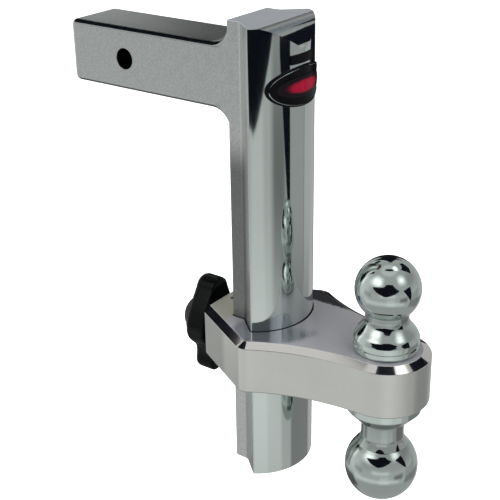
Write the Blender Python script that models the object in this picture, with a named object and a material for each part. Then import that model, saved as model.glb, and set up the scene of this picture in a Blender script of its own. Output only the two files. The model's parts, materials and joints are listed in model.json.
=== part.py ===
"""Adjustable drop hitch with a two-ball platform, in metres, +Z up.

The origin is the centre of the receiver pin hole. +X runs along the shank towards the balls.
"""

import math

import bmesh
import bpy
import numpy as np
from mathutils import Matrix, Vector

# Shank and receiver pin hole
SHANK_SIDE = 0.0508
SHANK_TAIL = 0.0570
SHANK_EDGE = 0.0038
PIN_HOLE_R = 0.00815

# Drop post: a square-backed web with a curved, wider front
WEB_REAR_X = 0.1032
POST_TOP_Z = 0.0436
POST_BOTTOM_Z = -0.3344
WEB_HALF = 0.0254
WEB_CORNER = 0.0016
EAR_ROOT_X = 0.0125
EAR_SLOPE_DEG = 41.0
EAR_FILLET = 0.0050
EAR_TIP_R = 0.0016
FRONT_ARC_X = 0.0055
FRONT_ARC_R = 0.0466
ELBOW_R = 0.0160
CROWN_R = 0.0210
CROWN_START_X = 0.0312

# Height holes in the back of the web
HOLE_PITCH = 0.0254
HOLES_UP = 5
HOLES_DOWN = 3
HEIGHT_HOLE_R = 0.0068
HEIGHT_HOLE_DEPTH = 0.0150

# Ball platform
PLATFORM_TOP_Z = -0.1983
PLATFORM_BOTTOM_Z = -0.2412
PLATFORM_REAR_X = -0.0263
PLATFORM_REAR_HALF = 0.0295
SHOULDER_SLOPE_DEG = 28.7
SHOULDER_R = 0.0085
WAIST_R = 0.1780
BOSS_R = 0.0356
BALL_X = 0.1289
CHAMFER_IN = 0.0070
CHAMFER_DOWN = 0.0038
UNDER_CHAMFER = 0.0012
POST_GAP = 0.0009
BALL_BORE_R = 0.0130

# Balls
UPPER_BALL_R = 0.0254
UPPER_BALL_Z = -0.1479
LOWER_BALL_R = 0.02937
LOWER_BALL_Z = -0.3047
NECK_R = 0.0170
BASE_R = 0.0258
STUD_R = 0.0125
SOCKET_R = 0.0128
STUD_TOP_Z = -0.1700
ROLL_PIN_Z = -0.1932

# Lock behind the platform, turning about an axis along X
LOCK_Z = -0.2240
SET_SCREW_X = -0.0177
LOCK_STROKE = 0.0120
LOCK_PIN_R = 0.00635
LOCK_PIN_TIP_X = -0.0016
LOCK_PIN_LENGTH = 0.0239
LOCK_FLAT = 0.0050
HOUSING_R = 0.0130
HOUSING_FRONT_X = -0.0018
FLANGE_R = 0.0180
FLANGE_FRONT_X = -0.0266
FLANGE_REAR_X = -0.0316
SLEEVE_R = 0.0097
SLEEVE_BORE_R = 0.0067
FOLLOWER_X = -0.0228
FOLLOWER_R = 0.0020
SPINDLE_R = 0.0060
DETENT_RADIUS = 0.0150

# Turn handle and key lock
HANDLE_FRONT_X = -0.0340
WING_REAR_X = -0.0550
HUB_REAR_X = -0.0585
HUB_R = 0.0205
WING_UP = 0.0385
WING_UP_R = 0.0110
WING_DOWN = 0.0480
WING_DOWN_R = 0.0080
WING_BELLY = 0.0235
WING_TILT_DEG = 6.0
KEY_BODY_R = 0.0095
KEY_PLUG_R = 0.0060
CAP_R = 0.0150
CAP_PIVOT_Z = 0.0118

# Front emblem and plate
EMBLEM_Z = -0.0025
EMBLEM_HALF_W = 0.0356
EMBLEM_HALF_H = 0.0152
PLATE_Z = 0.0180
PLATE_HALF_W = 0.0155
PLATE_HALF_H = 0.0034

GAP = 0.0003


def clear_scene():
    for obj in list(bpy.data.objects):
        bpy.data.objects.remove(obj, do_unlink=True)


def material(name, colour, metallic, roughness):
    made = bpy.data.materials.new(name)
    made.use_nodes = True
    shader = made.node_tree.nodes["Principled BSDF"]
    shader.inputs["Base Color"].default_value = (*colour, 1.0)
    shader.inputs["Metallic"].default_value = metallic
    shader.inputs["Roughness"].default_value = roughness
    return made


def satin_aluminium():
    return material("satin_aluminium", (0.72, 0.73, 0.72), 1.0, 0.32)


def machined_aluminium():
    return material("machined_aluminium", (0.78, 0.78, 0.77), 1.0, 0.25)


def chromed_steel():
    return material("chromed_steel", (0.70, 0.74, 0.73), 1.0, 0.08)


def zinc_steel():
    return material("zinc_steel", (0.62, 0.62, 0.60), 1.0, 0.35)


def spring_steel():
    return material("spring_steel", (0.45, 0.45, 0.46), 1.0, 0.3)


def black_plastic():
    return material("black_plastic", (0.012, 0.012, 0.013), 0.0, 0.22)


def black_rubber():
    return material("black_rubber", (0.02, 0.02, 0.02), 0.0, 0.7)


def black_enamel():
    return material("black_enamel", (0.01, 0.01, 0.012), 0.0, 0.15)


def red_enamel():
    return material("red_enamel", (0.30, 0.006, 0.02), 0.0, 0.18)


def brass():
    return material("brass", (0.75, 0.58, 0.28), 1.0, 0.3)


def white_nylon():
    return material("white_nylon", (0.75, 0.74, 0.70), 0.0, 0.5)


def mesh_object(name, points, faces):
    """A smooth-shaded mesh object with outward normals and sharp edges kept sharp."""
    mesh = bpy.data.meshes.new(name)
    mesh.from_pydata([tuple(p) for p in points], [], faces)
    shaped = bmesh.new()
    shaped.from_mesh(mesh)
    bmesh.ops.remove_doubles(shaped, verts=shaped.verts, dist=1e-7)
    bmesh.ops.recalc_face_normals(shaped, faces=shaped.faces)
    if shaped.calc_volume(signed=True) < 0:
        bmesh.ops.reverse_faces(shaped, faces=shaped.faces)
    shaped.to_mesh(mesh)
    shaped.free()
    mesh.shade_smooth()
    mesh.set_sharp_from_angle(angle=math.radians(32))
    obj = bpy.data.objects.new(name, mesh)
    bpy.context.scene.collection.objects.link(obj)
    return obj


def placed(points, axis, origin):
    """Turns (u, v, w) points so that w runs along axis, and moves them to origin."""
    turns = {
        "X": Matrix(((0, 0, 1), (1, 0, 0), (0, 1, 0))),
        "Y": Matrix(((0, 1, 0), (0, 0, 1), (1, 0, 0))),
        "Z": Matrix.Identity(3),
    }
    turn = turns[axis]
    return [turn @ Vector(p) + Vector(origin) for p in points]


def stacked(name, rings, axis="Z", origin=(0, 0, 0)):
    """A solid through equal rings of (u, v, w) points, capped at both ends."""
    count = len(rings[0])
    points = [p for ring in rings for p in ring]
    faces = []
    for layer in range(len(rings) - 1):
        low = layer * count
        for i in range(count):
            j = (i + 1) % count
            faces.append((low + i, low + j, low + count + j, low + count + i))
    faces.append(tuple(reversed(range(count))))
    faces.append(tuple(range((len(rings) - 1) * count, len(rings) * count)))
    return mesh_object(name, placed(points, axis, origin), faces)


def prism(name, outline, low, high, axis="Z", origin=(0, 0, 0)):
    rings = [[(u, v, w) for u, v in outline] for w in (low, high)]
    return stacked(name, rings, axis, origin)


def circle(radius, steps=48):
    turns = [2 * math.pi * (i + 0.5) / steps for i in range(steps)]
    return [(radius * math.cos(a), radius * math.sin(a)) for a in turns]


def rod(name, radius, low, high, axis="Z", origin=(0, 0, 0), steps=48, chamfer=0.0):
    levels = [(radius, low), (radius, high)]
    if chamfer:
        levels = [
            (radius - chamfer, low),
            (radius, low + chamfer),
            (radius, high - chamfer),
            (radius - chamfer, high),
        ]
    rings = [[(u, v, w) for u, v in circle(r, steps)] for r, w in levels]
    return stacked(name, rings, axis, origin)


def turned(name, profile, axis="Z", origin=(0, 0, 0), steps=64):
    """A solid of revolution from a closed loop or an open run of (radius, height)."""
    hollow = all(r > 0 for r, _ in profile)
    points = []
    rows = []
    for radius, height in profile:
        if radius <= 0:
            rows.append([len(points)] * steps)
            points.append((0, 0, height))
            continue
        rows.append(list(range(len(points), len(points) + steps)))
        points += [(u, v, height) for u, v in circle(radius, steps)]
    faces = []
    pairs = list(zip(rows, rows[1:]))
    if hollow:
        pairs.append((rows[-1], rows[0]))
    for first, second in pairs:
        for i in range(steps):
            j = (i + 1) % steps
            corner = [first[i], first[j], second[j], second[i]]
            face = tuple(dict.fromkeys(corner))
            if len(face) > 2:
                faces.append(face)
    return mesh_object(name, placed(points, axis, origin), faces)


def arc(centre, radius, start_deg, end_deg, steps):
    """Points of a circular arc, ends included."""
    turns = np.radians(np.linspace(start_deg, end_deg, steps + 1))
    return [(centre[0] + radius * math.cos(a), centre[1] + radius * math.sin(a)) for a in turns]


def rounded(corners, steps=6):
    """An outline from (u, v, radius) corners, each corner replaced by its tangent arc."""
    made = []
    count = len(corners)
    for i in range(count):
        u, v, radius = corners[i]
        here = Vector((u, v))
        if radius <= 0:
            made.append((u, v))
            continue
        before = (Vector(corners[i - 1][:2]) - here).normalized()
        after = (Vector(corners[(i + 1) % count][:2]) - here).normalized()
        half = math.acos(max(-1.0, min(1.0, before.dot(after)))) / 2
        centre = here + (before + after).normalized() * (radius / math.sin(half))
        begin = here + before * (radius / math.tan(half)) - centre
        finish = here + after * (radius / math.tan(half)) - centre
        sweep = begin.angle_signed(finish)
        for k in range(steps + 1):
            turned_by = Matrix.Rotation(-sweep * k / steps, 2) @ begin
            made.append(tuple(centre + turned_by))
    return made


def mirrored(half):
    """A whole outline from its half with v >= 0, run the other way for v < 0."""
    other = [(u, -v) for u, v in reversed(half) if abs(v) > 1e-9]
    return half + other


def offset(outline, distance):
    """The outline moved out by distance, vertex by vertex along the mitred normals."""
    points = np.array(outline)
    ahead = np.roll(points, -1, axis=0) - points
    ahead /= np.linalg.norm(ahead, axis=1, keepdims=True)
    area = np.cross(points, np.roll(points, -1, axis=0)).sum()
    normal = np.stack([ahead[:, 1], -ahead[:, 0]], axis=1) * np.sign(area)
    behind = np.roll(normal, 1, axis=0)
    mitre = normal + behind
    mitre /= (mitre * normal).sum(axis=1, keepdims=True)
    return [tuple(p) for p in points + mitre * distance]


def combine(body, other, operation):
    """Joins other to body, or cuts it away, and keeps other as a hidden helper."""
    other.hide_render = True
    other.display_type = "WIRE"
    modifier = body.modifiers.new(f"{operation.lower()}_{other.name}", "BOOLEAN")
    modifier.operation = operation
    modifier.solver = "EXACT"
    modifier.object = other


def cut(body, other):
    combine(body, other, "DIFFERENCE")


def join(body, other):
    combine(body, other, "UNION")


def finished(obj, finish):
    obj.data.materials.append(finish)
    return obj


def web_point(x, y=0.0, z=0.0):
    """A point given from the back face of the web, in the part's own frame."""
    return (WEB_REAR_X + x, y, z)


def lock_point(x):
    return web_point(x, 0.0, LOCK_Z)


def post_outline():
    """The post's plan: square web behind, sloping ears, then the curved front."""
    slope = math.tan(math.radians(EAR_SLOPE_DEG))
    x = EAR_ROOT_X
    while (x - FRONT_ARC_X) ** 2 + (WEB_HALF + slope * (x - EAR_ROOT_X)) ** 2 < FRONT_ARC_R**2:
        x += 0.00001
    ear_y = WEB_HALF + slope * (x - EAR_ROOT_X)
    ear_deg = math.degrees(math.atan2(ear_y, x - FRONT_ARC_X))
    front = arc((FRONT_ARC_X, 0.0), FRONT_ARC_R, ear_deg - 5.0, 0.0, 18)
    corners = [
        (0.0, 0.0, 0.0),
        (0.0, WEB_HALF, WEB_CORNER),
        (EAR_ROOT_X, WEB_HALF, EAR_FILLET),
        (x, ear_y, EAR_TIP_R),
    ]
    half = rounded([*corners, (*front[0], 0.0)], 4)[1:-1]
    return mirrored(half + [(u, max(v, 0.0)) for u, v in front])


def pillow(name, outline, half_width, edge_r, steps=5):
    """An outline in the XZ plane, thick along Y, with its long edges rounded."""
    rings = []
    for k in range(steps + 1):
        turn = math.pi / 2 * k / steps
        inset = offset(outline, -edge_r * (1 - math.sin(turn)))
        depth = half_width - edge_r * (1 - math.cos(turn))
        rings.append([(v, u, -depth) for u, v in inset])
    rings += [[(u, v, -w) for u, v, w in ring] for ring in reversed(rings)]
    return stacked(name, rings, "Y")


def shank_outline():
    """The shank's side view, with the two elbows that run into the post."""
    half = SHANK_SIDE / 2
    inside = WEB_REAR_X + 0.008
    elbow = half + ELBOW_R
    upper = arc((WEB_REAR_X - ELBOW_R, elbow), ELBOW_R, -90, -4, 10)
    lower = arc((WEB_REAR_X - ELBOW_R, -elbow), ELBOW_R, 4, 90, 10)
    end = [(-SHANK_TAIL, half), (-SHANK_TAIL, -half)]
    root = [(inside, -elbow), (inside, elbow)]
    return [*end, *reversed(lower), *root, *reversed(upper)]


def build_drop_post():
    outline = [(WEB_REAR_X + u, v) for u, v in post_outline()]
    edge = 0.0008
    rings = [
        [(u, v, POST_BOTTOM_Z) for u, v in offset(outline, -edge)],
        [(u, v, POST_BOTTOM_Z + edge) for u, v in outline],
        [(u, v, POST_TOP_Z - edge) for u, v in outline],
        [(u, v, POST_TOP_Z) for u, v in offset(outline, -edge)],
    ]
    post = stacked("drop_post", rings)
    join(post, pillow("shank_form", shank_outline(), SHANK_SIDE / 2, SHANK_EDGE))
    crown_z = POST_TOP_Z - CROWN_R
    crown = arc((WEB_REAR_X + CROWN_START_X, crown_z), CROWN_R, 87, -2, 16)
    past = WEB_REAR_X + 0.070
    above = POST_TOP_Z + 0.010
    side = [*crown, (past, crown[-1][1]), (past, above), (crown[0][0], above)]
    cut(post, prism("crown_cutter", [(v, u) for u, v in side], -0.06, 0.06, "Y"))
    cut(post, rod("pin_hole_cutter", PIN_HOLE_R, -0.04, 0.04, "Y", steps=48))
    for step in range(-HOLES_DOWN, HOLES_UP + 1):
        centre = web_point(0, 0, LOCK_Z + HOLE_PITCH * step)
        name = f"height_hole_cutter_{step + HOLES_DOWN + 1}"
        cut(post, rod(name, HEIGHT_HOLE_R, -0.005, HEIGHT_HOLE_DEPTH, "X", centre, 28))
    return finished(post, satin_aluminium())


def platform_outline():
    """Half plan of the platform: flat rear, shoulders, waist and the round ball boss."""
    slope = math.tan(math.radians(SHOULDER_SLOPE_DEG))
    waist_y = BOSS_R + WAIST_R

    def waist(x):
        return waist_y - math.sqrt(WAIST_R**2 - (BALL_X - x) ** 2)

    x = 0.0
    while PLATFORM_REAR_HALF + slope * (x - PLATFORM_REAR_X) < waist(x):
        x += 0.00001
    shoulder = (x, PLATFORM_REAR_HALF + slope * (x - PLATFORM_REAR_X), SHOULDER_R)
    side = [(u, waist(u)) for u in np.linspace(x + 0.010, BALL_X, 17)]
    boss = arc((BALL_X, 0.0), BOSS_R, 90, 0, 18)
    rear = [(PLATFORM_REAR_X, 0.0, 0.0), (PLATFORM_REAR_X, PLATFORM_REAR_HALF, 0.0)]
    half = rounded([*rear, shoulder, (*side[0], 0.0)], 6)[1:-1]
    return half + side + [(u, max(v, 0.0)) for u, v in boss[1:]]


def inset_platform(outline, distance):
    """The platform's outline moved in, except across its flat rear face."""
    moved = offset(outline, -distance)
    slope = math.tan(math.radians(SHOULDER_SLOPE_DEG))
    kept = PLATFORM_REAR_HALF - distance / math.cos(math.atan(slope))
    result = []
    for (u, v), (x, y) in zip(moved, outline):
        if x <= PLATFORM_REAR_X + 1e-6:
            u = PLATFORM_REAR_X
            v = math.copysign(min(abs(y), kept), y)
        result.append((u, v))
    return result


def shifted(outline):
    return [(WEB_REAR_X + u, v) for u, v in outline]


def build_ball_platform():
    outline = mirrored(platform_outline())
    layers = [
        (inset_platform(outline, UNDER_CHAMFER), PLATFORM_BOTTOM_Z),
        (outline, PLATFORM_BOTTOM_Z + UNDER_CHAMFER),
        (outline, PLATFORM_TOP_Z - CHAMFER_DOWN),
        (inset_platform(outline, CHAMFER_IN), PLATFORM_TOP_Z),
    ]
    rings = [[(u, v, z) for u, v in shifted(plan)] for plan, z in layers]
    platform = stacked("ball_platform", rings)
    low = PLATFORM_BOTTOM_Z - 0.01
    high = PLATFORM_TOP_Z + 0.01
    window = shifted(offset(post_outline(), POST_GAP))
    cut(platform, prism("post_window_cutter", window, low, high))
    cut(platform, rod("ball_bore_cutter", BALL_BORE_R, low, high, "Z", web_point(BALL_X), 48))
    cut(platform, rod("lock_bore_cutter", HOUSING_R + GAP, -0.04, 0.004, "X", lock_point(0)))
    screw = web_point(SET_SCREW_X)
    cut(platform, rod("set_screw_cutter", 0.0033, LOCK_Z, high, "Z", screw, 24))
    return finished(platform, machined_aluminium())


def build_upper_ball():
    neck_top = UPPER_BALL_Z - math.sqrt(UPPER_BALL_R**2 - NECK_R**2)
    ball = arc((0, UPPER_BALL_Z), UPPER_BALL_R, 90, -48, 20)
    base = PLATFORM_TOP_Z + GAP
    profile = [(0.0, UPPER_BALL_Z + UPPER_BALL_R)] + [(r, z) for r, z in ball[1:]]
    profile += [
        (NECK_R, neck_top - 0.0012),
        (NECK_R, neck_top - 0.0050),
        (NECK_R + 0.0004, -0.1745),
        (NECK_R + 0.0016, -0.1775),
        (NECK_R + 0.0038, -0.1812),
        (NECK_R + 0.0065, -0.1848),
        (BASE_R - 0.0005, -0.1880),
        (BASE_R, -0.1890),
        (BASE_R, base + 0.0016),
        (BASE_R - 0.0016, base),
        (SOCKET_R, base),
        (SOCKET_R, STUD_TOP_Z + 0.0015),
        (0.0, STUD_TOP_Z + 0.0060),
    ]
    upper = turned("upper_ball", profile, "Z", web_point(BALL_X), 48)
    centre = web_point(BALL_X, 0, ROLL_PIN_Z)
    cut(upper, rod("upper_roll_pin_cutter", 0.0028, 0.0, 0.04, "Y", centre, 20))
    return finished(upper, chromed_steel())


def build_lower_ball():
    collar_top = PLATFORM_BOTTOM_Z - GAP
    neck_z = LOWER_BALL_Z + math.sqrt(LOWER_BALL_R**2 - NECK_R**2)
    ball = arc((0, LOWER_BALL_Z), LOWER_BALL_R, 54, -78, 20)
    profile = [
        (0.0, STUD_TOP_Z),
        (STUD_R - 0.0015, STUD_TOP_Z),
        (STUD_R, STUD_TOP_Z - 0.0015),
        (STUD_R, collar_top),
        (0.0296, collar_top),
        (0.0302, collar_top - 0.0006),
        (0.0302, collar_top - 0.0080),
        (0.0215, -0.2592),
        (NECK_R + 0.0010, -0.2600),
        (NECK_R, -0.2625),
        (NECK_R, neck_z + 0.0030),
        (NECK_R + 0.0001, neck_z + 0.0012),
        *ball,
        (0.0, ball[-1][1]),
    ]
    lower = turned("lower_ball", profile, "Z", web_point(BALL_X), 48)
    hexagon = circle(0.0070, 6)
    bottom = LOWER_BALL_Z - LOWER_BALL_R
    centre = web_point(BALL_X)
    cut(lower, prism("hex_cutter", hexagon, bottom - 0.01, bottom + 0.009, "Z", centre))
    pin = web_point(BALL_X, 0, ROLL_PIN_Z)
    cut(lower, rod("stud_roll_pin_cutter", 0.0028, 0.0015, 0.04, "Y", pin, 20))
    return finished(lower, chromed_steel())


def split_tube(name, outer, inner, low, high, axis, origin, steps=20):
    """A rolled spring pin: a tube with a slit along it."""
    turns = np.radians(np.linspace(8, 352, steps + 1))
    outline = [(outer * math.cos(a), outer * math.sin(a)) for a in turns]
    outline += [(inner * math.cos(a), inner * math.sin(a)) for a in reversed(turns)]
    return prism(name, outline, low, high, axis, origin)


def build_ball_roll_pin():
    centre = web_point(BALL_X, 0, ROLL_PIN_Z)
    pin = split_tube("ball_roll_pin", 0.0025, 0.0014, 0.0020, 0.0240, "Y", centre)
    return finished(pin, spring_steel())


def flatted(radius, flat):
    """A round outline with a flat across its top."""
    start = math.degrees(math.asin(flat / radius))
    return arc((0, 0), radius, 180 - start, 360 + start, 34)


def build_lock_housing():
    profile = [
        (HOUSING_R - 0.0008, HOUSING_FRONT_X),
        (HOUSING_R, HOUSING_FRONT_X - 0.0008),
        (HOUSING_R, SET_SCREW_X + 0.0040),
        (HOUSING_R - 0.0016, SET_SCREW_X + 0.0035),
        (HOUSING_R - 0.0016, SET_SCREW_X - 0.0035),
        (HOUSING_R, SET_SCREW_X - 0.0040),
        (HOUSING_R, FLANGE_FRONT_X),
        (FLANGE_R, FLANGE_FRONT_X),
        (FLANGE_R, FLANGE_REAR_X + 0.0008),
        (FLANGE_R - 0.0008, FLANGE_REAR_X),
        (SLEEVE_R + 0.0004, FLANGE_REAR_X),
        (SLEEVE_R + 0.0004, -0.0305),
        (SLEEVE_R + 0.0016, -0.0305),
        (SLEEVE_R + 0.0016, -0.0290),
        (SLEEVE_R + 0.0004, -0.0290),
        (SLEEVE_R + 0.0004, -0.0070),
        (0.0030, -0.0070),
        (0.0030, HOUSING_FRONT_X),
    ]
    housing = turned("lock_housing", profile, "X", lock_point(0), 56)
    hole = flatted(LOCK_PIN_R + GAP, LOCK_FLAT + GAP)
    cut(housing, prism("lock_pin_way_cutter", hole, -0.0085, 0.001, "X", lock_point(0)))
    pocket = web_point(0, -DETENT_RADIUS, LOCK_Z)
    cut(housing, rod("detent_pocket_cutter", 0.0022, -0.033, -0.0274, "X", pocket, 20))
    return finished(housing, zinc_steel())


def build_housing_set_screw():
    centre = web_point(SET_SCREW_X)
    top = PLATFORM_TOP_Z - 0.0010
    tip = LOCK_Z + HOUSING_R - 0.0010
    screw = rod("housing_set_screw", 0.0030, tip, top, "Z", centre, 24, 0.0005)
    socket = prism("screw_socket_cutter", circle(0.0017, 6), top - 0.003, top + 0.002, "Z", centre)
    cut(screw, socket)
    return finished(screw, spring_steel())


def build_lock_pin():
    rear = LOCK_PIN_TIP_X - LOCK_PIN_LENGTH
    levels = [
        (LOCK_PIN_R - 0.0006, rear),
        (LOCK_PIN_R, rear + 0.0006),
        (LOCK_PIN_R, LOCK_PIN_TIP_X - 0.0024),
        (LOCK_PIN_R - 0.0018, LOCK_PIN_TIP_X),
    ]
    rings = []
    for radius, x in levels:
        flat = LOCK_FLAT * radius / LOCK_PIN_R
        rings.append([(u, v, x) for u, v in flatted(radius, flat)])
    pin = stacked("lock_pin", rings, "X", lock_point(0))
    follower = lock_point(FOLLOWER_X)
    cut(pin, rod("follower_way_cutter", FOLLOWER_R + 0.0002, -0.012, 0.012, "Y", follower, 24))
    return finished(pin, zinc_steel())


def build_cam_follower_pin():
    centre = lock_point(FOLLOWER_X)
    pin = rod("cam_follower_pin", FOLLOWER_R, -0.0093, 0.0093, "Y", centre, 24, 0.0004)
    return finished(pin, spring_steel())


def cam_slot_cutter(name, side):
    """A helical bar that clears the follower through a quarter turn of the sleeve."""
    half = FOLLOWER_R + 0.0003
    rings = []
    for turn in np.linspace(-23, 113, 35):
        share = max(0.0, min(1.0, turn / 90.0))
        along = FOLLOWER_X + LOCK_STROKE * share
        angle = math.radians(side - turn)
        lean = half * 1.6
        ring = []
        for radius, shift in ((0.0050, -lean), (0.0130, -lean), (0.0130, lean), (0.0050, lean)):
            ring.append((radius * math.cos(angle), radius * math.sin(angle), along + shift))
        rings.append(ring)
    return stacked(name, rings, "X", lock_point(0))


def build_cam_sleeve():
    profile = [
        (SLEEVE_BORE_R, -0.0074),
        (SLEEVE_R, -0.0074),
        (SLEEVE_R, -0.0287),
        (SPINDLE_R, -0.0287),
        (SPINDLE_R, -0.0425),
        (SPINDLE_R - 0.0006, -0.0431),
        (0.0, -0.0431),
    ]
    outer = [(0.0, -0.0260), (SLEEVE_BORE_R, -0.0260)]
    sleeve = turned("cam_sleeve", outer + profile, "X", lock_point(0), 56)
    cut(sleeve, cam_slot_cutter("cam_slot_cutter_1", 0))
    cut(sleeve, cam_slot_cutter("cam_slot_cutter_2", 180))
    cross = lock_point(-0.0388)
    cut(sleeve, rod("spindle_pin_cutter", 0.0022, -0.01, 0.01, "Y", cross, 20))
    return finished(sleeve, zinc_steel())


def build_sleeve_circlip():
    outline = arc((0, 0), SLEEVE_R + 0.0012, 20, 340, 32)
    outline += arc((0, 0), SPINDLE_R + 0.0016, 340, 20, 32)
    clip = prism("sleeve_circlip", outline, -0.0302, -0.0292, "X", lock_point(0))
    return finished(clip, spring_steel())


def ring_piece(name, inner, outer, low, high, steps=48):
    profile = [(inner, low), (outer, low), (outer, high), (inner, high)]
    return turned(name, profile, "X", lock_point(0), steps)


def build_thrust_washer():
    washer = ring_piece("thrust_washer", 0.0064, 0.0118, -0.0337, -0.0319)
    return finished(washer, white_nylon())


def build_detent_ball():
    centre = web_point(-0.0318, -DETENT_RADIUS, LOCK_Z)
    profile = [(max(r, 0.0), z) for r, z in arc((0, 0), 0.0019, 90, -90, 10)]
    profile[0] = (0.0, profile[0][1])
    profile[-1] = (0.0, profile[-1][1])
    return finished(turned("detent_ball", profile, "X", centre, 20), chromed_steel())


def build_detent_spring():
    """A short compression spring behind the detent ball."""
    coil = 0.00145
    wire = 0.00028
    turns = 3.5
    start = -0.02995
    end = -0.02775
    steps = 60
    rings = []
    for k in range(steps + 1):
        share = k / steps
        angle = 2 * math.pi * turns * share
        out = Vector((math.cos(angle), math.sin(angle), 0))
        centre = out * coil + Vector((0, 0, start + (end - start) * share))
        ring = []
        for m in range(8):
            lean = 2 * math.pi * m / 8
            ring.append(centre + out * wire * math.cos(lean) + Vector((0, 0, wire * math.sin(lean))))
        rings.append(ring)
    centre = web_point(0, -DETENT_RADIUS, LOCK_Z)
    return finished(stacked("detent_spring", rings, "X", centre), spring_steel())


def wing_outline():
    """The handle's wings seen from behind: a broad one above and a narrow one below."""
    upper = arc((0, WING_UP - WING_UP_R), WING_UP_R, 90, 12, 7)
    flank = [
        (WING_UP_R + 0.0050, WING_BELLY * 0.82),
        (WING_BELLY - 0.0028, WING_BELLY * 0.36),
        (WING_BELLY, -WING_BELLY * 0.14),
        (WING_BELLY - 0.0030, -WING_BELLY * 0.66),
        (WING_DOWN_R + 0.0010, -WING_BELLY * 1.15),
    ]
    lower = arc((0, WING_DOWN_R - WING_DOWN), WING_DOWN_R, -10, -90, 7)
    half = [(max(u, 0.0), v) for u, v in [*upper, *flank, *lower]]
    whole = half + [(-u, v) for u, v in reversed(half) if u > 1e-9]
    tilt = math.radians(WING_TILT_DEG)
    across, along = math.cos(tilt), math.sin(tilt)
    return [(u * across + v * along, v * across - u * along) for u, v in whole]


def build_turn_handle():
    outline = wing_outline()
    layers = [
        (-0.0016, HANDLE_FRONT_X - 0.0007),
        (0.0, HANDLE_FRONT_X - 0.0023),
        (0.0, WING_REAR_X + 0.0055),
        (-0.0014, WING_REAR_X + 0.0021),
        (-0.0048, WING_REAR_X),
    ]
    rings = [[(u, v, x) for u, v in offset(outline, grow)] for grow, x in layers]
    handle = stacked("turn_handle", rings, "X", lock_point(0))
    cut(handle, rod("wing_gap_cutter", HUB_R - 0.004, -0.06, -0.02, "X", lock_point(0), 40))
    hub = [
        (SPINDLE_R + GAP, HANDLE_FRONT_X),
        (HUB_R - 0.001, HANDLE_FRONT_X),
        (HUB_R, HANDLE_FRONT_X - 0.001),
        (HUB_R, HUB_REAR_X + 0.0075),
        (HUB_R - 0.0008, HUB_REAR_X + 0.0040),
        (HUB_R - 0.0022, HUB_REAR_X + 0.0014),
        (HUB_R - 0.0040, HUB_REAR_X),
        (KEY_BODY_R + GAP, HUB_REAR_X),
        (KEY_BODY_R + GAP, -0.0470),
        (SPINDLE_R + GAP, -0.0465),
    ]
    join(handle, turned("hub_form", hub, "X", lock_point(0), 56))
    cross = lock_point(-0.0388)
    cut(handle, rod("cross_way_cutter", 0.0022, -0.03, 0.03, "Y", cross, 20))
    for name, y, z in (("a", -DETENT_RADIUS, 0.0), ("b", 0.0, DETENT_RADIUS)):
        centre = web_point(HANDLE_FRONT_X, y, LOCK_Z + z)
        cut(handle, rod(f"detent_dimple_cutter_{name}", 0.0016, -0.0009, 0.002, "X", centre, 16))
    pivot = web_point(HUB_REAR_X, 0, LOCK_Z + CAP_PIVOT_Z)
    cut(handle, rod("cap_screw_cutter", 0.0013, -0.001, 0.0060, "X", pivot, 16))
    return finished(handle, black_plastic())


def build_handle_roll_pin():
    centre = lock_point(-0.0388)
    pin = split_tube("handle_roll_pin", 0.0019, 0.0011, -0.0185, 0.0185, "Y", centre)
    return finished(pin, spring_steel())


def build_key_cylinder():
    front = -0.0475
    rear = HUB_REAR_X + 0.0002
    cylinder = ring_piece("key_cylinder", KEY_PLUG_R + 0.0002, KEY_BODY_R, rear, front, 40)
    return finished(cylinder, zinc_steel())


def build_key_plug():
    rear = HUB_REAR_X + 0.0002
    plug = rod("key_plug", KEY_PLUG_R, rear, -0.0466, "X", lock_point(0), 36, 0.0003)
    slot = [(-0.0007, -0.0042), (0.0007, -0.0042), (0.0007, 0.0042), (-0.0007, 0.0042)]
    cut(plug, prism("keyway_cutter", slot, -0.062, -0.0505, "X", lock_point(0)))
    tail = [(-0.0018, -0.0018), (0.0018, -0.0018), (0.0018, 0.0018), (-0.0018, 0.0018)]
    join(plug, prism("plug_tail_form", tail, -0.0470, -0.0434, "X", lock_point(0)))
    return finished(plug, brass())


def build_plug_cam():
    """The dog on the plug's tail."""
    outline = arc((0, 0), 0.0036, 40, 320, 20) + [(0.0050, -0.0018), (0.0050, 0.0018)]
    cam = prism("plug_cam", outline, -0.0461, -0.0450, "X", lock_point(0))
    hole = [(-0.0020, -0.0020), (0.0020, -0.0020), (0.0020, 0.0020), (-0.0020, 0.0020)]
    cut(cam, prism("cam_square_cutter", hole, -0.048, -0.043, "X", lock_point(0)))
    return finished(cam, zinc_steel())


def build_plug_clip():
    outline = arc((0, 0), 0.0040, 30, 330, 24) + arc((0, 0), 0.0028, 330, 30, 24)
    clip = prism("plug_clip", outline, -0.0446, -0.0439, "X", lock_point(0))
    return finished(clip, spring_steel())


def build_dust_cap():
    """A domed rubber cover that swings aside about its screw."""
    face = HUB_REAR_X - GAP
    profile = [
        (0.0, face - 0.0010),
        (KEY_BODY_R, face - 0.0010),
        (KEY_BODY_R + 0.0004, face),
        (CAP_R - 0.0004, face),
        (CAP_R, face - 0.0006),
        (CAP_R - 0.0002, face - 0.0020),
        (CAP_R - 0.0014, face - 0.0034),
        (CAP_R - 0.0050, face - 0.0048),
        (CAP_R - 0.0095, face - 0.0056),
        (0.0, face - 0.0060),
    ]
    cap = turned("dust_cap", profile, "X", lock_point(0), 48)
    pivot = web_point(HUB_REAR_X, 0, LOCK_Z + CAP_PIVOT_Z)
    cut(cap, rod("cap_hole_cutter", 0.0015, -0.02, 0.004, "X", pivot, 16))
    cut(cap, rod("cap_recess_cutter", 0.0028, -0.02, -0.0020, "X", pivot, 20))
    return finished(cap, black_rubber())


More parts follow.
